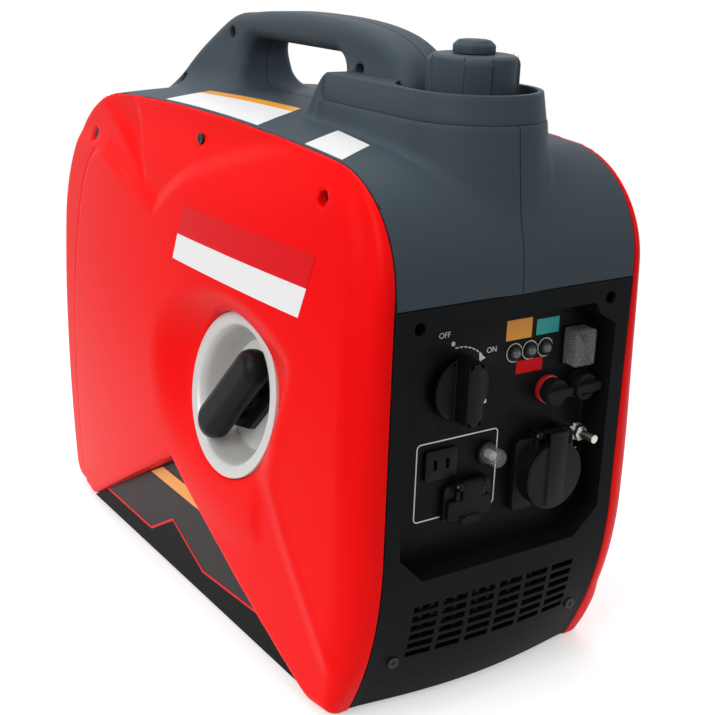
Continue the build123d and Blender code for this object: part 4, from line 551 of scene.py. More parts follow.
def wall_step(thickness: float) -> Step:
    """A step that gives a surface a wall, inwards.

    Args:
        thickness: the wall in millimetres.

    Returns:
        A function that adds the modifier.
    """

    def step(carrier: bpy.types.Object) -> None:
        """Adds the modifier.

        Args:
            carrier: the object to add it to.
        """
        wall = carrier.modifiers.new("wall", "SOLIDIFY")
        wall.thickness = thickness * MM
        wall.offset = -1.0
        wall.use_rim = True

    return step


def shade(mesh: bpy.types.Mesh, angle: float) -> None:
    """Smooth shading with edges sharper than an angle kept sharp.

    Args:
        mesh: the mesh to shade.
        angle: the angle in degrees.
    """
    mesh.shade_smooth()
    mesh.set_sharp_from_angle(angle=math.radians(angle))


def plain_mesh(name: str, points: Points, faces: Sequence[Sequence[int]]) -> bpy.types.Mesh:
    """A mesh from points in millimetres.

    Args:
        name: the mesh's name.
        points: the points, one a row.
        faces: the point numbers of each face.

    Returns:
        The mesh.
    """
    mesh = bpy.data.meshes.new(name)
    spots = (np.asarray(points, float) * MM).tolist()
    mesh.from_pydata(spots, [], [list(map(int, face)) for face in faces])
    mesh.update()
    return mesh


# Moulded forms as distance fields


def smooth_ramp(value: np.ndarray, low: float, high: float) -> np.ndarray:
    """0 below low, 1 above high, and an even curve between."""
    share = np.clip((value - low) / (high - low), 0.0, 1.0)
    return share * share * (3.0 - 2.0 * share)


def meet(a: np.ndarray, b: np.ndarray, radius: float | np.ndarray) -> np.ndarray:
    """The common part of two forms, with its edge rounded to a radius."""
    inside = np.minimum(np.maximum(a, b), -radius)
    return inside + np.hypot(np.maximum(a + radius, 0.0), np.maximum(b + radius, 0.0))


def join(a: np.ndarray, b: np.ndarray, radius: float | np.ndarray) -> np.ndarray:
    """Two forms as one, with a fillet of a radius between them."""
    return -meet(-a, -b, radius)


def soft_step(value: np.ndarray, width: float) -> np.ndarray:
    """The positive part of a value, its corner at zero eased over a width."""
    return 0.5 * (value + np.sqrt(value * value + width * width)) - 0.5 * width


class FlatDistance:
    """The signed distance to a closed outline in a plane, negative inside, kept on a grid."""

    def __init__(self, outline: Points, step: float = 2.0, margin: float = 60.0) -> None:
        """Fills the grid.

        Args:
            outline: the outline's points, one a row.
            step: the grid's step.
            margin: how far the grid reaches past the outline.
        """
        outline = np.asarray(outline, float)
        self.low = outline.min(0) - margin
        self.step = step
        counts = np.ceil((np.ptp(outline, 0) + 2 * margin) / step).astype(int) + 2
        grid = [self.low[i] + step * np.arange(counts[i]) for i in (0, 1)]
        first, second = np.meshgrid(*grid, indexing="ij")
        nearest = np.full(first.shape, np.inf)
        inside = np.zeros(first.shape, bool)
        for a, b in zip(outline, np.roll(outline, -1, 0)):
            run = b - a
            share = ((first - a[0]) * run[0] + (second - a[1]) * run[1]) / max(run @ run, 1e-9)
            share = np.clip(share, 0.0, 1.0)
            gap = (first - a[0] - share * run[0]) ** 2 + (second - a[1] - share * run[1]) ** 2
            nearest = np.minimum(nearest, gap)
            if a[1] != b[1]:
                crossing = (a[1] > second) != (b[1] > second)
                inside ^= crossing & (first < run[0] * (second - a[1]) / run[1] + a[0])
        self.values = np.where(inside, -1.0, 1.0) * np.sqrt(nearest)

    def __call__(self, first: np.ndarray, second: np.ndarray) -> np.ndarray:
        """The distance at some places, read between the grid's values.

        Args:
            first: the places along the outline's first direction.
            second: the places along its second direction.

        Returns:
            The distance at each place.
        """
        a = np.clip((first - self.low[0]) / self.step, 0, self.values.shape[0] - 1.001)
        b = np.clip((second - self.low[1]) / self.step, 0, self.values.shape[1] - 1.001)
        i, j = a.astype(int), b.astype(int)
        a, b = a - i, b - j
        v = self.values
        low = v[i, j] * (1 - a) + v[i + 1, j] * a
        high = v[i, j + 1] * (1 - a) + v[i + 1, j + 1] * a
        return low * (1 - b) + high * b


def through(points: Sequence[Flat], parts: int = 10) -> Points:
    """A smooth run of points through some given ones.

    Args:
        points: the places that it goes through.
        parts: how many steps each stretch has.

    Returns:
        The points, one a row.
    """
    knots = np.asarray(points, float)
    padded = np.vstack([2 * knots[0] - knots[1], knots, 2 * knots[-1] - knots[-2]])
    share = np.linspace(0, 1, parts, endpoint=False)[:, None]
    run = []
    for a, b, c, d in zip(padded, padded[1:], padded[2:], padded[3:]):
        bend = 2 * a - 5 * b + 4 * c - d + (3 * b - a - 3 * c + d) * share
        run.append(b + 0.5 * share * (c - a + share * bend))
    return np.vstack(run + [knots[-1:]])


def arc(centre: Flat, radius: float, start: float, end: float, parts: int = 48) -> Points:
    """Points on an arc, with its angles in degrees."""
    angles = np.radians(np.linspace(start, end, parts))
    return np.column_stack([centre[0] + radius * np.cos(angles), centre[1] + radius * np.sin(angles)])


@dataclass
class Form:
    """A solid given by a distance field, and how its surface is read."""

    field: Field
    low: Place
    high: Place
    step: float = 2.3
    slope_reach: float = 0.35
    least_slope: float = 0.05
    deepest: float = 140.0
    halvings: int = 40

    def surface(self, name: str) -> bpy.types.Mesh:
        """The form's surface as an even mesh of quads, each point put on the surface itself.

        Args:
            name: the mesh's name.

        Returns:
            The mesh, in metres.
        """
        counts = [int(math.ceil((h - l) / self.step)) + 1 for l, h in zip(self.low, self.high)]
        axes = [l + self.step * np.arange(n) for l, n in zip(self.low, counts)]
        values = np.empty(counts)
        for i, x in enumerate(axes[0]):
            y, z = np.meshgrid(axes[1], axes[2], indexing="ij")
            values[i] = self.field(np.stack([np.full_like(y, x), y, z], -1))
        inside = values < 0
        corners = [(i, j, k) for i in (0, 1) for j in (0, 1) for k in (0, 1)]
        span = tuple(n - 1 for n in counts)
        block = [inside[i:span[0] + i, j:span[1] + j, k:span[2] + k] for i, j, k in corners]
        total = sum(part.astype(np.int8) for part in block)
        cells = np.argwhere((total > 0) & (total < 8))
        number = np.full(span, -1)
        number[tuple(cells.T)] = np.arange(len(cells))
        points = self._cell_points(values, cells, corners)
        points = np.asarray(self.low) + self.step * (cells + points)
        points = self.settle(points)
        return plain_mesh(name, points, self._faces(inside, number))

    @staticmethod
    def _cell_points(values: np.ndarray, cells: np.ndarray, corners: list[tuple[int, int, int]]) -> Points:
        """The middle of the places where the surface crosses each cell's edges.

        Args:
            values: the field at the grid's points.
            cells: the numbers of the cells that the surface goes through, one cell a row.
            corners: the steps from a cell's number to its eight corners.

        Returns:
            The places in their cells, from 0 to 1 along each axis.
        """
        total = np.zeros((len(cells), 3))
        count = np.zeros((len(cells), 1))
        for a in corners:
            for axis in range(3):
                if a[axis]:
                    continue
                b = tuple(1 if i == axis else a[i] for i in range(3))
                va = values[tuple((cells + a).T)]
                vb = values[tuple((cells + b).T)]
                crossed = (va < 0) != (vb < 0)
                share = np.where(crossed, va / np.where(crossed, va - vb, 1.0), 0.0)
                place = np.asarray(a) + share[:, None] * (np.asarray(b) - np.asarray(a))
                total += np.where(crossed[:, None], place, 0.0)
                count += crossed[:, None]
        return total / np.maximum(count, 1)

    @staticmethod
    def _faces(inside: np.ndarray, number: np.ndarray) -> np.ndarray:
        """One quad for each grid edge that the surface crosses, turned outwards.

        Args:
            inside: which of the grid's points lie inside the form.
            number: the number of each cell's point, or -1.

        Returns:
            The point numbers of each quad, one quad a row.
        """
        faces = []
        for axis in range(3):
            near = [slice(None)] * 3
            far = [slice(None)] * 3
            near[axis], far[axis] = slice(None, -1), slice(1, None)
            here, there = inside[tuple(near)], inside[tuple(far)]
            u, v = (axis + 1) % 3, (axis + 2) % 3
            for outward in (True, False):
                spots = np.argwhere((here & ~there) if outward else (~here & there))
                good = (spots[:, u] > 0) & (spots[:, v] > 0)
                good &= (spots[:, u] < number.shape[u]) & (spots[:, v] < number.shape[v])
                spots = spots[good]
                ring = []
                for du, dv in ((1, 1), (0, 1), (0, 0), (1, 0)):
                    shift = np.zeros(3, int)
                    shift[u], shift[v] = du, dv
                    ring.append(number[tuple((spots - shift).T)])
                ring = np.column_stack(ring if outward else ring[::-1])
                faces.append(ring[(ring >= 0).all(1)])
        return np.vstack(faces)

    def settle(self, points: Points, rounds: int = 4) -> Points:
        """Moves points onto the surface along the field's slope.

        Args:
            points: the points to move, one a row.
            rounds: how many times.

        Returns:
            The moved points.
        """
        reach = self.slope_reach
        for _ in range(rounds):
            slope = np.stack([
                self.field(points + reach * axis) - self.field(points - reach * axis) for axis in np.eye(3)
            ], -1) / (2 * reach)
            size = np.maximum((slope * slope).sum(-1, keepdims=True), self.least_slope)
            move = self.field(points)[:, None] * slope / size
            points = points - np.clip(move, -self.step, self.step)
        return points

    def land(self, points: Points, way: Place, lift: float) -> Points:
        """Brings points straight down onto the surface, and stops a little above it.

        Args:
            points: where the points start, outside the form.
            way: the unit direction that they move in.
            lift: how far above the surface they stop.

        Returns:
            The landed points.
        """
        near = np.zeros(len(points))
        far = np.full(len(points), self.deepest)
        way = np.asarray(way)
        for _ in range(self.halvings):
            middle = (near + far) / 2
            hit = self.field(points + middle[:, None] * way) < 0
            far = np.where(hit, middle, far)
            near = np.where(hit, near, middle)
        return points + (near - lift)[:, None] * way


def keep_side(mesh: bpy.types.Mesh, point: Place, outward: Place) -> None:
    """Cuts a mesh by a plane and keeps the part behind it.

    Args:
        mesh: the mesh to cut.
        point: a point of the plane, in millimetres.
        outward: the plane's direction, towards what goes away.
    """
    form = bmesh.new()
    form.from_mesh(mesh)
    bmesh.ops.bisect_plane(
        form, geom=form.verts[:] + form.edges[:] + form.faces[:], dist=CUT_MERGE * MM,
        plane_co=Vector(point) * MM, plane_no=Vector(outward), clear_outer=True,
    )
    form.to_mesh(mesh)
    form.free()


@dataclass
class BodyForm:
    """The sizes of the body that the panels and the upper cover share."""

    half_length: float = 250.0
    low: float = 3.5
    top: float = 383.0
    crown: float = 14.0
    front_top: float = 72.0
    rear_top: float = 120.0
    sweep: float = 34.0
    sweep_height: float = 131.0
    rear_low: float = 18.0
    seam: float = 98.0
    cover_seam: float = 295.0
    rise: float = 4.0
    rise_band: Span = (210.0, 350.0)

    def outline(self) -> Points:
        """The body's outline from the side.

        Returns:
            The outline's points, as Y and Z.
        """
        reach = (self.half_length**2 + self.crown**2) / (2 * self.crown)
        middle = self.top - reach
        front_y = -self.half_length + self.front_top
        front = (front_y, middle + math.sqrt((reach - self.front_top) ** 2 - front_y**2))
        rear_y = self.half_length - self.rear_top
        rear = (rear_y, middle + math.sqrt((reach - self.rear_top) ** 2 - rear_y**2))
        front_angle = math.degrees(math.atan2(front[1] - middle, front[0]))
        rear_angle = math.degrees(math.atan2(rear[1] - middle, rear[0]))
        fall = self.sweep_height - self.low
        bend = (self.sweep**2 + fall**2) / (2 * self.sweep)
        low_front = (-self.half_length + bend, self.sweep_height)
        turn = math.degrees(math.asin(fall / bend))
        low_rear = (self.half_length - self.rear_low, self.low + self.rear_low)
        return np.vstack([
            arc(low_front, bend, 180, 180 + turn),
            arc(low_rear, self.rear_low, 270, 360),
            arc(rear, self.rear_top, 0, rear_angle),
            arc((0.0, middle), reach, rear_angle, front_angle)[1:-1],
            arc(front, self.front_top, front_angle, 180),
        ])

    def distance(self) -> Field:
        """The body as a field: its outline along X, with the top crowned from side to side.

        Returns:
            The field.
        """
        flat = FlatDistance(self.outline())

        def field(p: Points) -> np.ndarray:
            """The distance at some points."""
            across = np.minimum(np.abs(p[..., 0]) / self.seam, 1.0)
            lift = self.rise * (1.0 - across**2) * smooth_ramp(p[..., 2], *self.rise_band)
            return flat(p[..., 1], p[..., 2] - lift)

        return field


@dataclass
class SidePanel:
    """A red side panel: a barrelled shell with pressed creases and a chevron cut out of its foot.

    A span holds where a change along a line starts and where it ends.
    """

    side: Side
    body: BodyForm
    core: Field
    reach: float = 131.0
    barrel: float = 1150.0
    low_barrel: float = 1800.0
    widest: float = 170.0
    plan: float = 2400.0
    widest_place: float = -30.0
    bevel_from: float = 301.0
    bevel_land: float = 2.0
    bevel_ease: float = 3.0
    crease: float = 4.6
    crease_band: Span = (-1.0, 15.0)
    crease_rise: Span = (150.0, 250.0)
    rear_step: float = 1.5
    rear_step_ease: float = 1.8
    rear_step_start: Span = (60.0, 120.0)
    rear_step_end: Span = (325.0, 345.0)
    groove: float = 1.1
    groove_half: float = 2.4
    seam_land: float = 3.0
    seam_ease: float = 3.0
    wrap: float = 26.0
    wrap_band: Span = (150.0, 225.0)
    rim: float = 7.0
    rim_inset: float = 1.0
    least_rim: float = 1.5
    foot_share: float = 0.4
    foot_band: Span = (15.0, 80.0)
    notch_middle: float = -8.0
    notch_height: float = 121.5
    notch_front: float = 32.0
    notch_rear: float = 30.0
    notch_rim: float = 3.0
    wall: float = 2.6
    edge: float = 0.7
    seam_gap: float = 0.5
    screw_radius: float = 5.2
    screw_floor: float = 102.4
    screw_rim: float = 0.9
    screws: Run = ((180.5, 340.0), (-10.0, 364.0), (-184.5, 353.1))
    dish: Place = (-121.0, -90.0, 197.0)
    dish_tilt: float = 10.0
    dish_radius: float = 59.3
    dish_rim: float = 2.0
    landing_band: Span = (61.0, 116.0)
    landing_squash: float = 1.5
    shade_width: float = 15.0
    shade_line: Run = ((154, -148), (212, -168), (262, -185), (318, -218), (348, -232))
    facet_foot: Flat = (60.0, 318.0)
    facet_rear: float = 2.05
    facet_front: float = 0.88
    facet_depth: float = 0.16
    facet_front_band: Span = (-0.12, 0.1)
    facet_rear_band: Span = (0.35, 1.15)
    ridge: float = 1.4
    ridge_half: float = 7.0
    ridge_slant: float = 0.78
    ridge_front: float = 0.9
    ridge_front_start: Span = (-4.0, 6.0)
    ridge_front_end: Span = (60.0, 8.0)
    ridge_rise: Span = (18.0, 55.0)
    ridge_fall: Span = (175.0, 260.0)
    ridge_line: Run = ((20, -236), (58, -214), (87, -196), (124, -172), (158, -154), (197, -163), (264, -192))
    front_crest: Run = ((-236, -60), (-236, 20), (-232, 80), (-229, 140), (-227, 200), (-225, 270),
                        (-221, 318), (-213, 341), (-197, 358), (-171, 367), (-135, 369), (-95, 361),
                        (-45, 345), (-5, 330), (33, 301))
    rear_crest: Run = ((33, 301), (95, 318), (140, 329), (160, 331), (250, 325), (310, 322))
    rear_line: Run = ((33, 301), (95, 318), (140, 329), (160, 331), (176, 324), (188, 308), (197, 280),
                      (204, 226), (209, 161), (213, 100), (216, 40), (216, -60))
    box: tuple[Span, Span, Span] = ((95.0, 135.0), (-254.0, 254.0), (2.0, 390.0))

    def __post_init__(self) -> None:
        """Prepares the distances to the pressed lines, each closed below the body."""
        below = self.front_crest[0][1]
        rear_end, rear_start = self.rear_crest[-1][0], self.rear_line[0][0]
        crest = np.vstack([through(self.front_crest), through(self.rear_crest), [(rear_end, below)]])
        self.crest = FlatDistance(crest)
        self.rear_petal = FlatDistance(np.vstack([through(self.rear_line), [(rear_start, below)]]))

    def outer(self, y: np.ndarray, z: np.ndarray) -> np.ndarray:
        """How far out the panel's face is.

        Args:
            y: the places along the body.
            z: the heights.

        Returns:
            The face's distance from the middle of the body at each place.
        """
        barrel = np.where(z > self.widest, self.barrel, self.low_barrel)
        face = self.reach - (z - self.widest) ** 2 / (2 * barrel)
        face = face - (y - self.widest_place) ** 2 / (2 * self.plan)
        lean = (self.reach - self.body.seam - self.bevel_land) / (self.body.top - self.bevel_from)
        bevel = self.reach - lean * (z - self.bevel_from)
        face = face - soft_step(face - bevel, self.bevel_ease)
        past_crest = smooth_ramp(self.crest(y, z), *self.crease_band)
        face = face - self.crease * past_crest * smooth_ramp(z, *self.crease_rise)
        face = face - self.rear_pressing(y, z)
        face = face - self.facet(y, z) + self.swoosh(y, z)
        if self.side is Side.LEFT:
            face = face - self.landing(y, z, face)
        edge = self.body.seam + self.seam_land
        return edge + soft_step(face - edge, self.seam_ease)

    def rear_pressing(self, y: np.ndarray, z: np.ndarray) -> np.ndarray:
        """How far the face steps in behind the rear line, with a groove along it.

        Args:
            y: the places along the body.
            z: the heights.

        Returns:
            The depth at each place.
        """
        behind = self.rear_petal(y, z)
        step = self.rear_step * smooth_ramp(behind, -self.rear_step_ease, self.rear_step_ease)
        step = step + self.groove * np.exp(-((behind / self.groove_half) ** 2))
        low, high = self.rear_step_end
        return step * smooth_ramp(y, *self.rear_step_start) * smooth_ramp(-z, -high, -low)

    def landing(self, y: np.ndarray, z: np.ndarray, face: np.ndarray) -> np.ndarray:
        """How far the face is pressed in round the starter dish, to lie level with the dish's rim.

        Args:
            y: the places along the body.
            z: the heights.
            face: how far out the face is without this.

        Returns:
            The depth at each place.
        """
        tilt = math.radians(self.dish_tilt)
        level = -self.dish[0] - (z - self.dish[2]) * math.tan(tilt)
        up = (z - self.dish[2]) / math.cos(tilt)
        away = np.hypot(y - self.dish[1], np.where(up > 0, self.landing_squash * up, up))
        heights, places = zip(*self.shade_line)
        ahead = smooth_ramp(y - np.interp(z, heights, places), 0.0, self.shade_width)
        return (face - level) * (1.0 - smooth_ramp(away, *self.landing_band)) * ahead

    def facet(self, y: np.ndarray, z: np.ndarray) -> np.ndarray:
        """The wedge that is pressed in below the rear of the top edge.

        Args:
            y: the places along the body.
            z: the heights.

        Returns:
            The depth at each place.
        """
        place, low = self.facet_foot
        height = np.maximum(z - low, 0.0)
        rear = place + self.facet_rear * height
        front = place + self.facet_front * height
        share = np.clip((y - front) / np.maximum(rear - front, 1e-3), -0.5, 1.5)
        shape = smooth_ramp(share, *self.facet_front_band) * (1.0 - smooth_ramp(share, *self.facet_rear_band))
        return self.facet_depth * height * shape

    def swoosh(self, y: np.ndarray, z: np.ndarray) -> np.ndarray:
        """The ridge that runs down to the front foot.

        Args:
            y: the places along the body.
            z: the heights.

        Returns:
            The ridge's height at each place.
        """
        heights, places = zip(*self.ridge_line)
        away = (y - np.interp(z, heights, places)) * self.ridge_slant
        front = smooth_ramp(-away, *self.ridge_front_start)
        ridge = np.exp(-(away / self.ridge_half) ** 2)
        ridge = ridge + self.ridge_front * front * smooth_ramp(-away, *self.ridge_front_end)
        ridge = self.ridge * ridge * smooth_ramp(z, *self.ridge_rise)
        return ridge * (1.0 - smooth_ramp(z, *self.ridge_fall))

    def field(self, p: Points) -> np.ndarray:
        """The panel as a solid from the seam outwards.

        Args:
            p: the places to read it at.

        Returns:
            The distance at each place.
        """
        u, y, z = self.side.value * p[..., 0], p[..., 1], p[..., 2]
        radius = self.rim + (self.wrap - self.rim) * smooth_ramp(np.abs(y), *self.wrap_band)
        radius = radius * (self.foot_share + (1.0 - self.foot_share) * smooth_ramp(z, *self.foot_band))
        outer = self.outer(y, z)
        radius = np.minimum(radius, np.maximum(outer - self.body.seam - self.rim_inset, self.least_rim))
        solid = meet(self.core(p), u - outer, radius)
        slope = np.radians(np.where(y < self.notch_middle, self.notch_front, self.notch_rear))
        notch = (self.notch_height - z) * np.cos(slope) - np.abs(y - self.notch_middle) * np.sin(slope)
        solid = meet(solid, notch, self.notch_rim)
        for sy, sz in self.screws:
            well = np.minimum(self.screw_radius - np.hypot(y - sy, z - sz), u - self.screw_floor)
            solid = meet(solid, well, self.screw_rim)
        if self.side is Side.LEFT:
            solid = meet(solid, self.dish_radius - self.from_dish(p), self.dish_rim)
        return solid

    def from_dish(self, p: Points) -> np.ndarray:
        """The distance from the line through the middle of the starter dish.

        Args:
            p: the places to read it at.

        Returns:
            The distance at each place.
        """
        tilt = math.radians(self.dish_tilt)
        offset = p - np.asarray(self.dish)
        up = offset[..., 0] * math.sin(tilt) + offset[..., 2] * math.cos(tilt)
        return np.hypot(offset[..., 1], up)

    def form(self) -> Form:
        """The panel's form, ready to be read.

        Returns:
            The form.
        """
        (near, far), along, up = self.box
        low, high = (near, far) if self.side is Side.RIGHT else (-far, -near)
        return Form(self.field, (low, along[0], up[0]), (high, along[1], up[1]))

    def build(self, bench: Bench) -> None:
        """Adds the panel.

        Args:
            bench: what makes the pieces.
        """
        name = f"{self.side.name.lower()}_side_panel"
        mesh = self.form().surface(name)
        sign = self.side.value
        keep_side(mesh, (sign * (self.body.seam + self.seam_gap), 0, 0), (-sign, 0, 0))
        mesh = bench.finished(mesh, [wall_step(self.wall), bevel_step(self.edge, RIM_ANGLE)])
        shade(mesh, FORM_ANGLE)
        bench.add(f"{name}_shell", mesh, RED_SHELL, HOUSING, [name])


@dataclass
class UpperCover:
    """The dark upper cover in two halves, with the handle and the neck that carries the fuel cap.

    A span holds where a change along a line starts and where it ends.
    """

    body: BodyForm
    core: Field
    arch: Run = ((212, 335), (185, 375), (150, 414), (105, 440.5), (70, 446.5), (20, 450), (-45, 450),
                 (-92, 446), (-122, 438), (-141, 425), (-151, 400), (-153, 330))
    arch_foot: float = 300.0
    grip_half: float = 21.5
    grip_round: float = 11.0
    flare: float = 13.0
    flare_band: Span = (368.0, 432.0)
    gap_front: float = -70.0
    gap_rear: float = 76.0
    gap_top: float = 427.0
    gap_round: float = 18.0
    gap_rim: float = 6.0
    neck_place: float = -187.0
    neck_rear: float = -84.0
    neck_low: float = 62.5
    neck_high: float = 49.6
    neck_top: float = 399.0
    neck_rim: float = 1.0
    collar_top: float = 417.0
    saddle_low: float = 386.0
    saddle_start: float = 60.0
    saddle_inset: float = 0.4
    saddle_slope: float = 0.7
    saddle_rim: float = 4.0
    saddle_overlap: float = 12.0
    handle_fillet: float = 16.0
    neck_fillet: float = 5.0
    hole: float = 27.0
    hole_floor: float = 340.0
    wall: float = 2.6
    edge: float = 0.6
    cover_gap: float = 0.5
    panel_gap: float = 0.4
    half_gap: float = 0.25
    screw_radius: float = 4.6
    screw_floor: float = -14.0
    screw_rim: float = 0.8
    screws: Run = ((95.0, 429.0), (159.0, 386.0), (-91.0, 418.0))
    box_low: Place = (-101.0, -254.0, 288.0)
    box_high: Place = (101.0, 254.0, 456.0)

    def __post_init__(self) -> None:
        """Prepares the distance to the handle's arch, closed at its foot."""
        foot = [(self.arch[-1][0], self.arch_foot), (self.arch[0][0], self.arch_foot)]
        self.arch_flat = FlatDistance(np.vstack([through(self.arch), foot]))

    def handle(self, p: Points) -> np.ndarray:
        """The handle as a field.

        Args:
            p: the places to read it at.

        Returns:
            The distance at each place.
        """
        x, y, z = np.abs(p[..., 0]), p[..., 1], p[..., 2]
        middle = (self.gap_front + self.gap_rear) / 2
        half = (self.gap_rear - self.gap_front) / 2 - self.gap_round
        above = np.maximum(z - self.gap_top + self.gap_round, 0)
        gap = np.hypot(np.maximum(np.abs(y - middle) - half, 0), above)
        side = meet(self.arch_flat(y, z), self.gap_round - gap, self.gap_rim)
        width = self.grip_half + self.flare * (1.0 - smooth_ramp(z, *self.flare_band))
        return meet(side, x - width, self.grip_round)

    def neck_radius(self, z: np.ndarray) -> np.ndarray:
        """Half the neck's width at a height."""
        height = (z - self.body.cover_seam) / (self.neck_top - self.body.cover_seam)
        return self.neck_low + (self.neck_high - self.neck_low) * height

    def neck(self, p: Points) -> np.ndarray:
        """The neck under the fuel cap as a field.

        Args:
            p: the places to read it at.

        Returns:
            The distance at each place.
        """
        x, y, z = p[..., 0], p[..., 1], p[..., 2]
        along = np.clip(y, self.neck_place, self.neck_rear)
        body = meet(np.hypot(x, y - along) - self.neck_radius(z), z - self.neck_top, self.neck_rim)
        return np.maximum(body, y - self.neck_rear)

    def saddle(self, p: Points) -> np.ndarray:
        """The fairing between the handle's front leg and the collar as a field.

        Args:
            p: the places to read it at.

        Returns:
            The distance at each place.
        """
        x, y, z = np.abs(p[..., 0]), p[..., 1], p[..., 2]
        climb = smooth_ramp(-y, self.saddle_start, -self.neck_rear)
        top = self.saddle_low + (self.collar_top - self.saddle_low) * climb
        aside = x - self.neck_radius(z) + self.saddle_inset
        body = meet(aside, (z - top) * self.saddle_slope, self.saddle_rim)
        return np.maximum(body, np.maximum(self.neck_rear - y, y - self.gap_front - self.saddle_overlap))

    def field(self, p: Points) -> np.ndarray:
        """The whole cover as one solid.

        Args:
            p: the places to read it at.

        Returns:
            The distance at each place.
        """
        solid = join(self.core(p), self.handle(p), self.handle_fillet)
        solid = join(solid, self.saddle(p), self.neck_fillet)
        solid = join(solid, self.neck(p), self.neck_fillet)
        x, y, z = p[..., 0], p[..., 1], p[..., 2]
        hole = np.minimum(self.hole - np.hypot(x, y - self.neck_place), z - self.hole_floor)
        solid = np.maximum(solid, hole)
        for sy, sz in self.screws:
            well = np.minimum(self.screw_radius - np.hypot(y - sy, z - sz), self.screw_floor - x)
            solid = meet(solid, well, self.screw_rim)
        return solid

    def form(self) -> Form:
        """The cover's form, ready to be read."""
        return Form(self.field, self.box_low, self.box_high)

    def build(self, bench: Bench) -> None:
        """Adds both halves.

        Args:
            bench: what makes the pieces.
        """
        whole = self.form().surface("upper_cover")
        keep_side(whole, (0, 0, self.body.cover_seam + self.cover_gap), (0, 0, -1))
        for side in Side:
            sign = side.value
            mesh = whole.copy()
            keep_side(mesh, (sign * (self.body.seam - self.panel_gap), 0, 0), (sign, 0, 0))
            keep_side(mesh, (sign * self.half_gap, 0, 0), (-sign, 0, 0))
            mesh = bench.finished(mesh, [wall_step(self.wall), bevel_step(self.edge, RIM_ANGLE)])
            shade(mesh, FORM_ANGLE)
            name = f"upper_cover_{side.name.lower()}"
            bench.add(f"{name}_shell", mesh, DARK_SHELL, HOUSING, [name])
        bpy.data.meshes.remove(whole)


# Foils and prints


@dataclass(frozen=True)
class Decal:
    """A plain foil that lies on a moulded form, given by four corners that are brought down onto it."""

    name: str
    finish: Finish
    corners: tuple[Place, Place, Place, Place]
    way: Place
    parts: int = 24
    lift: float = 0.3
    thickness: float = 0.2

    def build(self, bench: Bench, form: Form) -> None:
        """Adds the foil.

        Args:
            bench: what makes the pieces.
            form: what the foil lies on.
        """
        a, b, c, d = (np.asarray(corner, float) for corner in self.corners)
        shares = np.linspace(0, 1, self.parts)
        u, v = np.meshgrid(shares, shares, indexing="ij")
        u, v = u.reshape(-1, 1), v.reshape(-1, 1)
        spots = (a * (1 - u) + b * u) * (1 - v) + (d * (1 - u) + c * u) * v
        spots = form.land(spots, self.way, self.lift)
        count = self.parts
        faces = [(i * count + j, (i + 1) * count + j, (i + 1) * count + j + 1, i * count + j + 1)
                 for i in range(count - 1) for j in range(count - 1)]
        facing = np.cross(b - a, d - a) @ np.asarray(self.way, float)
        if facing > 0:
            faces = [face[::-1] for face in faces]
        mesh = bench.finished(plain_mesh(self.name, spots, faces), [wall_step(self.thickness)])
        shade(mesh, FOIL_ANGLE)
        bench.add(self.name, mesh, self.finish)


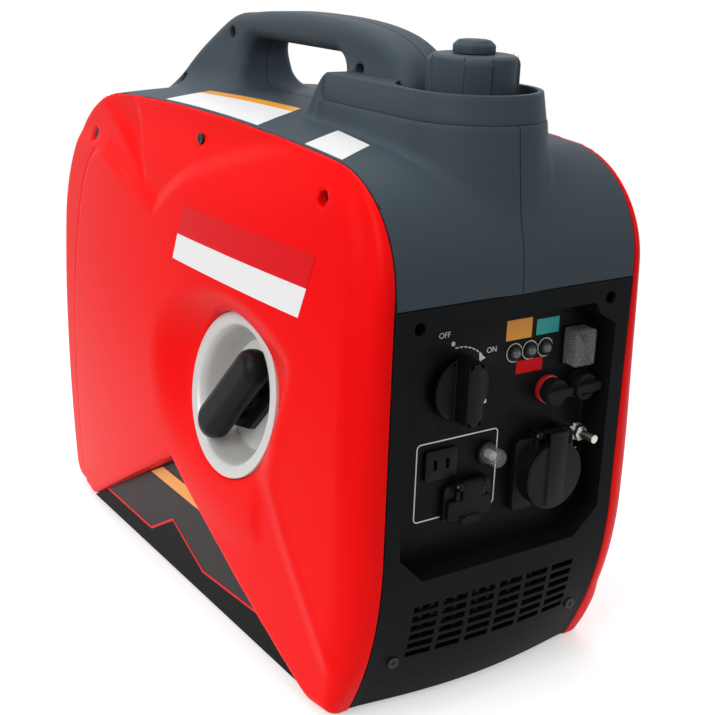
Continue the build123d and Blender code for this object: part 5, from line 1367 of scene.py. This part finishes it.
@dataclass
class ControlPrints:
    """The ink and foil on the control panel: marks round the switch, tags, a frame and rings round the lamps.

    Places are X and Z. Boxes are their left, low, right and high edges.
    """

    plate: float = -230.0
    lift: float = 0.14
    thickness: float = 0.1
    switch: Flat = (-32.0, 232.0)
    tags: tuple[tuple[str, Finish, Flat, Flat], ...] = (
        ("orange_tag", AMBER_FOIL, (18.0, 264.0), (22.0, 14.0)),
        ("teal_tag", TEAL_FOIL, (43.0, 263.0), (20.0, 11.0)),
        ("red_tag", RED_FOIL, (29.0, 237.0), (23.0, 9.0)),
    )
    frame: Box = (-62.0, 141.0, 6.0, 197.0)
    line: float = 0.9
    corner: float = 3.5
    corner_parts: int = 8
    lamps: Run = ((15.0, 248.0), (28.5, 248.0), (42.0, 248.0))
    lamp_line: Span = (6.1, 6.7)
    lamp_parts: int = 36
    words: tuple[tuple[str, Flat], ...] = (("OFF", (-49.0, 267.0)), ("ON", (-9.0, 251.5)))
    letter: float = 5.4
    dot: Flat = (-37.0, 262.0)
    dot_radius: float = 1.6
    dot_parts: int = 16
    arrow: Run = ((-15.2, 252.6), (-9.6, 248.6), (-14.6, 246.4))
    bar: Box = (-13.5, 216.6, -6.5, 219.4)
    earth_middle: float = 75.0
    earth_stem: Box = (74.4, 168.0, 75.6, 173.0)
    earth_bars: Run = ((5.0, 167.0), (3.3, 164.6), (1.6, 162.2))
    dash: Place = (2.6, 0.9, 0.12)
    dash_radius: float = 27.0
    dash_start: float = 48.0
    dash_sweep: float = 46.0
    dashes: int = 7

    @staticmethod
    def box(left: float, low: float, right: float, high: float) -> list[Flat]:
        """The corners of an upright rectangle."""
        return [(left, low), (right, low), (right, high), (left, high)]

    def shapes(self) -> list[Sequence[Flat]]:
        """The white marks: a dot and an arrow round the switch, a bar beside it and the earth sign.

        Returns:
            The outline of each mark.
        """
        (x, z), radius, middle = self.dot, self.dot_radius, self.earth_middle
        turns = np.linspace(0, math.tau, self.dot_parts, endpoint=False)
        dot = [(x + radius * math.cos(turn), z + radius * math.sin(turn)) for turn in turns]
        marks = [dot, self.arrow, self.box(*self.bar), self.box(*self.earth_stem)]
        for half, low in self.earth_bars:
            marks.append(self.box(middle - half, low, middle + half, low + self.line))
        return marks

    def rounded(self, inset: float) -> Points:
        """The frame round the low voltage outlets, with round corners.

        Args:
            inset: how far inside the frame's outer edge.

        Returns:
            The points of the outline.
        """
        left, low, right, high = self.frame
        reach, radius, parts = self.corner, self.corner - inset, self.corner_parts
        middles = ((right - reach, high - reach), (left + reach, high - reach), (left + reach, low + reach),
                   (right - reach, low + reach))
        quarters = [arc(middle, radius, 90 * i, 90 * i + 90, parts) for i, middle in enumerate(middles)]
        return np.vstack(quarters)

    def lines(self, name: str) -> bpy.types.Mesh:
        """The closed lines, round the low voltage outlets and round each lamp, as one thin mesh.

        Args:
            name: the mesh's name.

        Returns:
            The mesh.
        """
        loops = [(self.rounded(0.0), self.rounded(self.line))]
        last = 360 - 360 / self.lamp_parts
        for lamp in self.lamps:
            inner, outer = (arc(lamp, radius, 0, last, self.lamp_parts) for radius in self.lamp_line)
            loops.append((outer, inner))
        spots, faces = [], []
        for outer, inner in loops:
            start, count = len(spots), len(outer)
            spots += [(x, self.plate - self.lift, z) for x, z in np.vstack([outer, inner])]
            for i in range(count):
                after = (i + 1) % count
                faces.append((start + i, start + after, start + count + after, start + count + i))
        return plain_mesh(name, np.array(spots), faces)

    def flat(self, name: str, outlines: Sequence[Sequence[Flat]]) -> bpy.types.Mesh:
        """Flat outlines on the plate as one thin mesh.

        Args:
            name: the mesh's name.
            outlines: the outlines.

        Returns:
            The mesh.
        """
        spots, faces = [], []
        for outline in outlines:
            faces.append(range(len(spots), len(spots) + len(outline)))
            spots += [(x, self.plate - self.lift, z) for x, z in outline]
        return plain_mesh(name, np.array(spots), faces)

    def upright(self, x: float, z: float) -> Matrix:
        """Turns a flat drawing to face the panel's user, at a place on the plate."""
        turn = Matrix(((1, 0, 0), (0, 0, -1), (0, 1, 0))).to_4x4()
        return Matrix.Translation(Vector((x, self.plate - self.lift, z)) * MM) @ turn

    def word(self, text: str, place: Flat) -> bpy.types.Mesh:
        """A word as a thin mesh.

        Args:
            text: the word.
            place: X and Z of its lower left corner.

        Returns:
            The mesh.
        """
        curve = bpy.data.curves.new(f"word_{text}", "FONT")
        curve.body = text
        curve.size = self.letter * MM
        carrier = bpy.data.objects.new("carrier", curve)
        bpy.context.scene.collection.objects.link(carrier)
        graph = bpy.context.evaluated_depsgraph_get()
        mesh = bpy.data.meshes.new_from_object(carrier.evaluated_get(graph))
        bpy.data.objects.remove(carrier)
        bpy.data.curves.remove(curve)
        mesh.transform(self.upright(*place))
        return mesh

    @staticmethod
    def dash_tree(material: bpy.types.Material) -> bpy.types.NodeTree:
        """Geometry nodes that set dashes along an arc.

        Args:
            material: what the dashes are made of.

        Returns:
            The node tree.
        """
        tree, source, sink = new_tree(
            "GeometryNodeTree",
            "dashes_on_arc",
            [
                ("Count", "NodeSocketInt", None),
                ("Radius", VALUE_SOCKET, None),
                ("Start", VALUE_SOCKET, None),
                ("Sweep", VALUE_SOCKET, None),
                ("Dash", VECTOR_SOCKET, None),
            ],
            [("Geometry", "NodeSocketGeometry")],
        )
        curve = add_node(tree, "GeometryNodeCurveArc")
        spots = add_node(tree, "GeometryNodeCurveToPoints")
        turn = add_node(tree, "FunctionNodeAlignRotationToVector", axis="X", pivot_axis="Z")
        dash = add_node(tree, "GeometryNodeMeshCube")
        place = add_node(tree, "GeometryNodeInstanceOnPoints")
        real = add_node(tree, "GeometryNodeRealizeInstances")
        paint = add_node(tree, "GeometryNodeSetMaterial", {"Material": material})
        wire(
            tree,
            (source, "Radius", curve, "Radius"),
            (source, "Start", curve, "Start Angle"),
            (source, "Sweep", curve, "Sweep Angle"),
            (curve, "Curve", spots, "Curve"),
            (source, "Count", spots, "Count"),
            (spots, "Tangent", turn, "Vector"),
            (source, "Dash", dash, "Size"),
            (spots, "Points", place, "Points"),
            (dash, "Mesh", place, "Instance"),
            (turn, "Rotation", place, "Rotation"),
            (place, "Instances", real, "Geometry"),
            (real, "Geometry", paint, "Geometry"),
            (paint, "Geometry", sink, "Geometry"),
        )
        return tree

    def dash_mesh(self, bench: Bench) -> bpy.types.Mesh:
        """The dashed arc round the engine switch.

        Args:
            bench: what makes the pieces.

        Returns:
            The mesh, on the plate.
        """
        tree = self.dash_tree(WHITE_INK.material(bench.groups))
        values = {
            "Count": self.dashes,
            "Radius": self.dash_radius * MM,
            "Start": math.radians(self.dash_start),
            "Sweep": math.radians(self.dash_sweep),
            "Dash": tuple(size * MM for size in self.dash),
        }

        def step(carrier: bpy.types.Object) -> None:
            """Adds the node tree with its sizes.

            Args:
                carrier: the object to add it to.
            """
            nodes = carrier.modifiers.new("dashes", "NODES")
            nodes.node_group = tree
            for socket in tree.interface.items_tree:
                if socket.in_out == "INPUT":
                    nodes[socket.identifier] = values[socket.name]

        mesh = bench.finished(bpy.data.meshes.new("switch_dashes"), [step])
        mesh.transform(self.upright(*self.switch))
        return mesh

    def build(self, bench: Bench) -> None:
        """Adds the prints.

        Args:
            bench: what makes the pieces.
        """
        sheets = []
        for name, finish, (x, z), (width, height) in self.tags:
            outline = self.box(x - width / 2, z - height / 2, x + width / 2, z + height / 2)
            sheets.append((name, self.flat(name, [outline]), finish))
        sheets.append(("panel_lines", self.lines("panel_lines"), WHITE_INK))
        sheets.append(("panel_marks", self.flat("panel_marks", self.shapes()), WHITE_INK))
        for text, place in self.words:
            sheets.append((f"word_{text.lower()}", self.word(text, place), WHITE_INK))
        for name, mesh, finish in sheets:
            bench.add(name, bench.finished(mesh, [wall_step(self.thickness)]), finish)
        bench.add("switch_dashes", self.dash_mesh(bench), WHITE_INK)


@dataclass
class SkirtFoils:
    """The foils on the base's left skirt: a dark one with an amber band, and a thin red line.

    Places are Y and Z.
    """

    face: float = -110.3
    thickness: float = 0.15
    lift: float = 0.2
    line: float = 1.1
    dark: Run = ((168, 22), (72, 22), (30, 47), (-23, 24), (-108, 30), (-158, 30), (-8, 117))
    amber: Run = ((70, 75), (47, 87.5), (-57, 87.5), (-79, 75))
    route: Run = ((173, 22), (72, 22), (30, 47), (-23, 24), (-108, 30))

    def sheet(self, name: str, outline: Run, out: float) -> bpy.types.Mesh:
        """A flat outline on the skirt, some way out, as a mesh that faces outwards."""
        spots = np.array([(self.face - out, y, z) for y, z in outline])
        return plain_mesh(name, spots, [range(len(outline))])

    def ribbon(self, name: str) -> bpy.types.Mesh:
        """The thin line along its route as a mesh.

        Args:
            name: the mesh's name.

        Returns:
            The mesh.
        """
        route = np.asarray(self.route, float)
        runs = np.diff(route, axis=0)
        runs /= np.linalg.norm(runs, axis=1, keepdims=True)
        ways = np.vstack([runs[:1], runs[:-1] + runs[1:], runs[-1:]])
        ways /= np.linalg.norm(ways, axis=1, keepdims=True)
        aside = np.column_stack([-ways[:, 1], ways[:, 0]]) * self.line
        spots = np.vstack([route + aside, route - aside])
        count = len(route)
        faces = [(i, i + 1, count + i + 1, count + i) for i in range(count - 1)]
        out = np.full(2 * count, self.face - self.lift)
        return plain_mesh(name, np.column_stack([out, spots]), faces)

    def build(self, bench: Bench) -> None:
        """Adds the foils.

        Args:
            bench: what makes the pieces.
        """
        made = ((self.sheet("skirt_foil_dark", self.dark, 0.0), DARK_FOIL),
                (self.sheet("skirt_foil_amber", self.amber, self.lift), AMBER_FOIL),
                (self.ribbon("skirt_line_red"), RED_FOIL))
        for mesh, finish in made:
            name = mesh.name
            bench.add(name, bench.finished(mesh, [wall_step(self.thickness)]), finish)


@dataclass
class ShellFoils:
    """The foils on the shells: red over white on the left panel, and two white ones on the upper cover.

    The larger one on the cover has an amber head. Corners are Y and Z on the panel, and X and Y on the cover.
    """

    panel_start: float = -140.0
    panel_red: Run = ((-18, 319), (-189, 319), (-183.5, 297), (-12.5, 297))
    panel_white: Run = ((-12.5, 297), (-183.5, 297), (-178, 277), (-8, 278))
    cover_start: float = 440.0
    cover_head: Run = ((-58, 81), (-46, 86), (-38, -40), (-50, -48))
    cover_large: Run = ((-94, 66), (-58, 81), (-50, -48), (-94, -76))
    cover_small: Run = ((-95, -139), (-57, -119), (-61, -163), (-95, -183))

    def build(self, bench: Bench, panel: Form, cover: Form) -> None:
        """Adds the foils.

        Args:
            bench: what makes the pieces.
            panel: the left panel's form.
            cover: the upper cover's form.
        """
        inward, down = (1.0, 0.0, 0.0), (0.0, 0.0, -1.0)
        on_panel = (
            ("panel_foil_red", RED_FOIL, self.panel_red),
            ("panel_foil_white", WHITE_FOIL, self.panel_white),
        )
        on_cover = (
            ("cover_foil_head", AMBER_FOIL, self.cover_head),
            ("cover_foil_large", WHITE_FOIL, self.cover_large),
            ("cover_foil_small", WHITE_FOIL, self.cover_small),
        )
        for name, finish, corners in on_panel:
            places = tuple((self.panel_start, y, z) for y, z in corners)
            Decal(name, finish, places, inward).build(bench, panel)
        for name, finish, corners in on_cover:
            places = tuple((x, y, self.cover_start) for x, y in corners)
            Decal(name, finish, places, down).build(bench, cover)


# Pieces that keep their CAD shape


@dataclass(frozen=True)
class EndShells:
    """The shells at both ends: the bezel and the tray, with a foot that bows in front, and the rear cover."""

    bow: FootBow = FootBow()
    bowed: tuple[str, ...] = ("front_bezel", "base_tray")
    plain: tuple[str, ...] = ("rear_cover",)

    def build(self, bench: Bench) -> None:
        """Adds the shells, with their edges left as they are.

        Args:
            bench: what makes the pieces.
        """
        for node in self.bowed:
            bench.soften(node, FRONT_SHELL, 0.0, SHELL_ANGLE, self.bow)
        for node in self.plain:
            bench.soften(node, FRONT_SHELL, 0.0, SHELL_ANGLE)


@dataclass(frozen=True)
class Fittings:
    """A sub-assembly of CAD pieces.

    Softened pieces are in view: they have a finish and, in millimetres, the width of their rounded edges.
    Dressed ones are mostly out of sight and have a finish only.
    """

    softened: dict[str, tuple[Finish, float]]
    dressed: dict[str, Finish]

    def build(self, bench: Bench) -> None:
        """Adds the pieces.

        Args:
            bench: what makes the pieces.
        """
        for node, (finish, edge) in self.softened.items():
            bench.soften(node, finish, edge)
        for node, finish in self.dressed.items():
            bench.dress(node, finish)


FILLER = Fittings(
    softened={
        "filler_collar": (DARK_SHELL, 0.8),
        "fuel_cap": (DARK_SHELL, 1.0),
        "vent_knob": (DARK_SHELL, 1.0),
    },
    dressed={
        "fuel_cap_gasket": RUBBER,
        "filler_neck": PLATED_STEEL,
        "fuel_tank": INNER_PLASTIC,
    },
)
CONTROLS = Fittings(
    softened={
        "control_panel": (BLACK_PLATE, 0.4),
        "engine_switch_knob": (BLACK_PLASTIC, 0.8),
        "mains_outlet": (BLACK_PLASTIC, 0.7),
        "mains_outlet_lid": (BLACK_PLASTIC, 0.7),
        "low_voltage_outlet": (BLACK_PLASTIC, 0.4),
        "charging_port": (BLACK_PLASTIC, 0.5),
        "charging_port_flap": (RUBBER, 0.6),
        "economy_switch_body": (BLACK_PLASTIC, 0.4),
        "economy_rocker": (BLACK_PLASTIC, 0.4),
        "economy_switch_boot": (CLEAR_PLASTIC, 0.5),
        "parallel_socket_left": (RED_SOCKET, 0.4),
        "parallel_socket_right": (BLACK_PLASTIC, 0.4),
        "parallel_cap_left": (RUBBER, 0.5),
        "parallel_cap_right": (RUBBER, 0.5),
        "breaker_body": (BLACK_PLASTIC, 0.4),
        "breaker_button": (WHITE_PLASTIC, 0.4),
        "breaker_boot": (CLEAR_PLASTIC, 0.4),
        "lamp_rings": (BLACK_PLASTIC, 0.3),
        "indicator_lamps": (LENS, 0.3),
        "earth_stud": (PLATED_STEEL, 0.25),
        "earth_nut_and_washers": (PLATED_STEEL, 0.25),
    },
    dressed={
        "engine_switch_shaft": PLATED_STEEL,
        "engine_switch_body": INNER_PLASTIC,
    },
)
STARTER = Fittings(
    softened={
        "starter_dish": (BRIGHT_BOWL, 0.5),
        "rope_guide": (BLACK_PLASTIC, 0.6),
        "starter_grip": (BLACK_PLASTIC, 0.8),
    },
    dressed={
        "starter_rope": ROPE,
        "starter_housing": INNER_PLASTIC,
        "starter_reel": INNER_PLASTIC,
    },
)
CASE_FITTINGS = Fittings(
    softened={
        "exhaust_outlet": (PLATED_STEEL, 0.5),
        "rubber_feet": (RUBBER, 0.8),
        "case_screws": (DARK_STEEL, 0.25),
        "hinge_pins": (PLATED_STEEL, 0.2),
    },
    dressed={},
)
ENGINE = Fittings(
    softened={},
    dressed={
        "flywheel": PLATED_STEEL,
        "stator": PLATED_STEEL,
        "crankshaft": PLATED_STEEL,
        "crankcase": CAST_ALLOY,
        "cylinder": CAST_ALLOY,
        "cylinder_head": CAST_ALLOY,
        "piston_and_rod": CAST_ALLOY,
        "ignition_parts": PLATED_STEEL,
        "carburettor": CAST_ALLOY,
        "air_filter": INNER_PLASTIC,
        "muffler": PLATED_STEEL,
        # Painted shade: the inverter module is coloured near black to stand in for the shade seen through the
        # front grille's slots.
        "inverter_module": GRILLE_SHADE_ALLOY,
        "oil_cap": INNER_PLASTIC,
        "engine_mounts": RUBBER,
    },
)


# Stage


@dataclass
class Studio:
    """The floor, the soft light and the camera.

    The eye and the sensor are in millimetres, the picture and the focus in pixels, angles in degrees, power
    in watts and the other lengths in metres.
    """

    eye: Place = (-522.0, -833.3, 508.5)
    azimuth: float = -34.3
    elevation: float = 18.48
    roll: float = 2.05
    focus: float = 1271.8
    picture: float = 715.0
    sensor: float = 36.0
    clip: Span = (0.01, 100.0)
    world_light: float = 0.4
    lamps: tuple[tuple[str, Place, float, float], ...] = (
        ("key", (-2.1, -0.5, 1.5), 1.8, 40.0),
        ("fill", (1.2, -2.2, 1.0), 1.6, 9.0),
        ("top", (0.0, 0.3, 2.3), 1.8, 28.0),
    )
    aim: Place = (0.0, 0.0, 0.2)
    floor: float = 6.0
    floor_near: float = 0.4
    floor_far: float = 1.1
    floor_colour: Colour = (0.82, 0.82, 0.82)
    floor_roughness: float = 0.7
    floor_specular: float = 0.1
    floor_glow: float = 0.45

    def build(self) -> None:
        """Sets up everything that isn't part of the object."""
        self.add_camera()
        self.add_world()
        self.add_lamps()
        self.add_floor()
        bpy.context.scene.view_settings.view_transform = "Standard"

    def add_camera(self) -> None:
        """The camera at the photograph's place."""
        turn, tip, roll = (math.radians(v) for v in (self.azimuth, self.elevation, self.roll))
        back = Vector((math.sin(turn) * math.cos(tip), -math.cos(turn) * math.cos(tip), math.sin(tip)))
        right = Vector((0, 0, 1)).cross(back).normalized()
        up = back.cross(right)
        across = right * math.cos(roll) + up * math.sin(roll)
        upward = up * math.cos(roll) - right * math.sin(roll)
        data = bpy.data.cameras.new("camera")
        data.sensor_width = self.sensor
        data.lens = self.sensor * self.focus / self.picture
        data.clip_start, data.clip_end = self.clip
        camera = bpy.data.objects.new("camera", data)
        place = Matrix((across, upward, back)).transposed().to_4x4()
        place.translation = Vector(self.eye) * MM
        camera.matrix_world = place
        bpy.context.scene.collection.objects.link(camera)
        bpy.context.scene.camera = camera

    @staticmethod
    def seen_rays(tree: bpy.types.NodeTree) -> bpy.types.Node:
        """1 for rays that show the background: from the camera, a reflection or through glass.

        Args:
            tree: where the nodes go.

        Returns:
            The node whose output holds the value.
        """
        path = add_node(tree, "ShaderNodeLightPath")
        first = add_node(tree, "ShaderNodeMath", operation="MAXIMUM")
        second = add_node(tree, "ShaderNodeMath", operation="MAXIMUM")
        wire(
            tree,
            (path, "Is Camera Ray", first, 0),
            (path, "Is Glossy Ray", first, 1),
            (first, 0, second, 0),
            (path, "Is Transmission Ray", second, 1),
        )
        return second

    def add_world(self) -> None:
        """A white surround that lights the object softly."""
        world = bpy.data.worlds.new("studio")
        world.use_nodes = True
        bpy.context.scene.world = world
        tree = world.node_tree
        shader = tree.nodes["Background"]
        set_inputs(shader, {"Color": (1.0, 1.0, 1.0, 1.0)})
        levels = {1: 1.0 - self.world_light, 2: self.world_light}
        strength = add_node(tree, "ShaderNodeMath", levels, operation="MULTIPLY_ADD")
        wire(tree, (self.seen_rays(tree), 0, strength, 0), (strength, 0, shader, "Strength"))

    def add_lamps(self) -> None:
        """A large key from above the left shoulder, a fill from the right and a top light."""
        for name, place, size, power in self.lamps:
            data = bpy.data.lights.new(name, "AREA")
            data.size = size
            data.energy = power
            lamp = bpy.data.objects.new(name, data)
            way = Vector(self.aim) - Vector(place)
            lamp.matrix_world = Matrix.Translation(place) @ way.to_track_quat("-Z", "Y").to_matrix().to_4x4()
            bpy.context.scene.collection.objects.link(lamp)

    def floor_material(self) -> bpy.types.Material:
        """A pale floor that takes shadows near the object and turns white further off.

        Returns:
            The material.
        """
        material = bpy.data.materials.new("pale_floor")
        material.use_nodes = True
        tree = material.node_tree
        shader = tree.nodes["Principled BSDF"]
        set_inputs(shader, {
            "Base Color": (*self.floor_colour, 1.0),
            "Roughness": self.floor_roughness,
            "Specular IOR Level": self.floor_specular,
        })
        glow = add_node(tree, "ShaderNodeEmission")
        total = add_node(tree, "ShaderNodeAddShader")
        share = add_node(tree, "ShaderNodeMath", {1: self.floor_glow}, operation="MULTIPLY")
        seen = self.seen_rays(tree)
        white = add_node(tree, "ShaderNodeEmission")
        place = add_node(tree, "ShaderNodeTexCoord")
        length = add_node(tree, "ShaderNodeVectorMath", operation="LENGTH")
        away = add_node(tree, "ShaderNodeMapRange", {"From Min": self.floor_near, "From Max": self.floor_far})
        fade = add_node(tree, "ShaderNodeMixShader")
        wire(
            tree,
            (seen, 0, share, 0),
            (share, 0, glow, "Strength"),
            (shader, "BSDF", total, 0),
            (glow, "Emission", total, 1),
            (seen, 0, white, "Strength"),
            (place, "Object", length, 0),
            (length, "Value", away, "Value"),
            (away, "Result", fade, 0),
            (total, "Shader", fade, 1),
            (white, "Emission", fade, 2),
            (fade, "Shader", tree.nodes["Material Output"], "Surface"),
        )
        return material

    def add_floor(self) -> None:
        """The floor under the object."""
        size = self.floor
        corners = [(-size, -size, 0), (size, -size, 0), (size, size, 0), (-size, size, 0)]
        mesh = bpy.data.meshes.new("floor")
        mesh.from_pydata(corners, [], [(0, 1, 2, 3)])
        floor = bpy.data.objects.new("floor", mesh)
        bpy.context.scene.collection.objects.link(floor)
        mesh.materials.append(self.floor_material())


def main() -> None:
    """Loads the frame and builds every piece, the light and the camera."""
    logging.basicConfig(level=logging.INFO, format="%(message)s")
    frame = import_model()
    bench = Bench(frame)
    body = BodyForm()
    core = body.distance()
    panels = {side: SidePanel(side, body, core) for side in Side}
    cover = UpperCover(body, core)
    for panel in panels.values():
        panel.build(bench)
    cover.build(bench)
    ShellFoils().build(bench, panels[Side.LEFT].form(), cover.form())
    ControlPrints().build(bench)
    SkirtFoils().build(bench)
    EndShells().build(bench)
    for fittings in (FILLER, CONTROLS, STARTER, CASE_FITTINGS, ENGINE):
        fittings.build(bench)
    Studio().build()


if __name__ == "__main__":
    main()
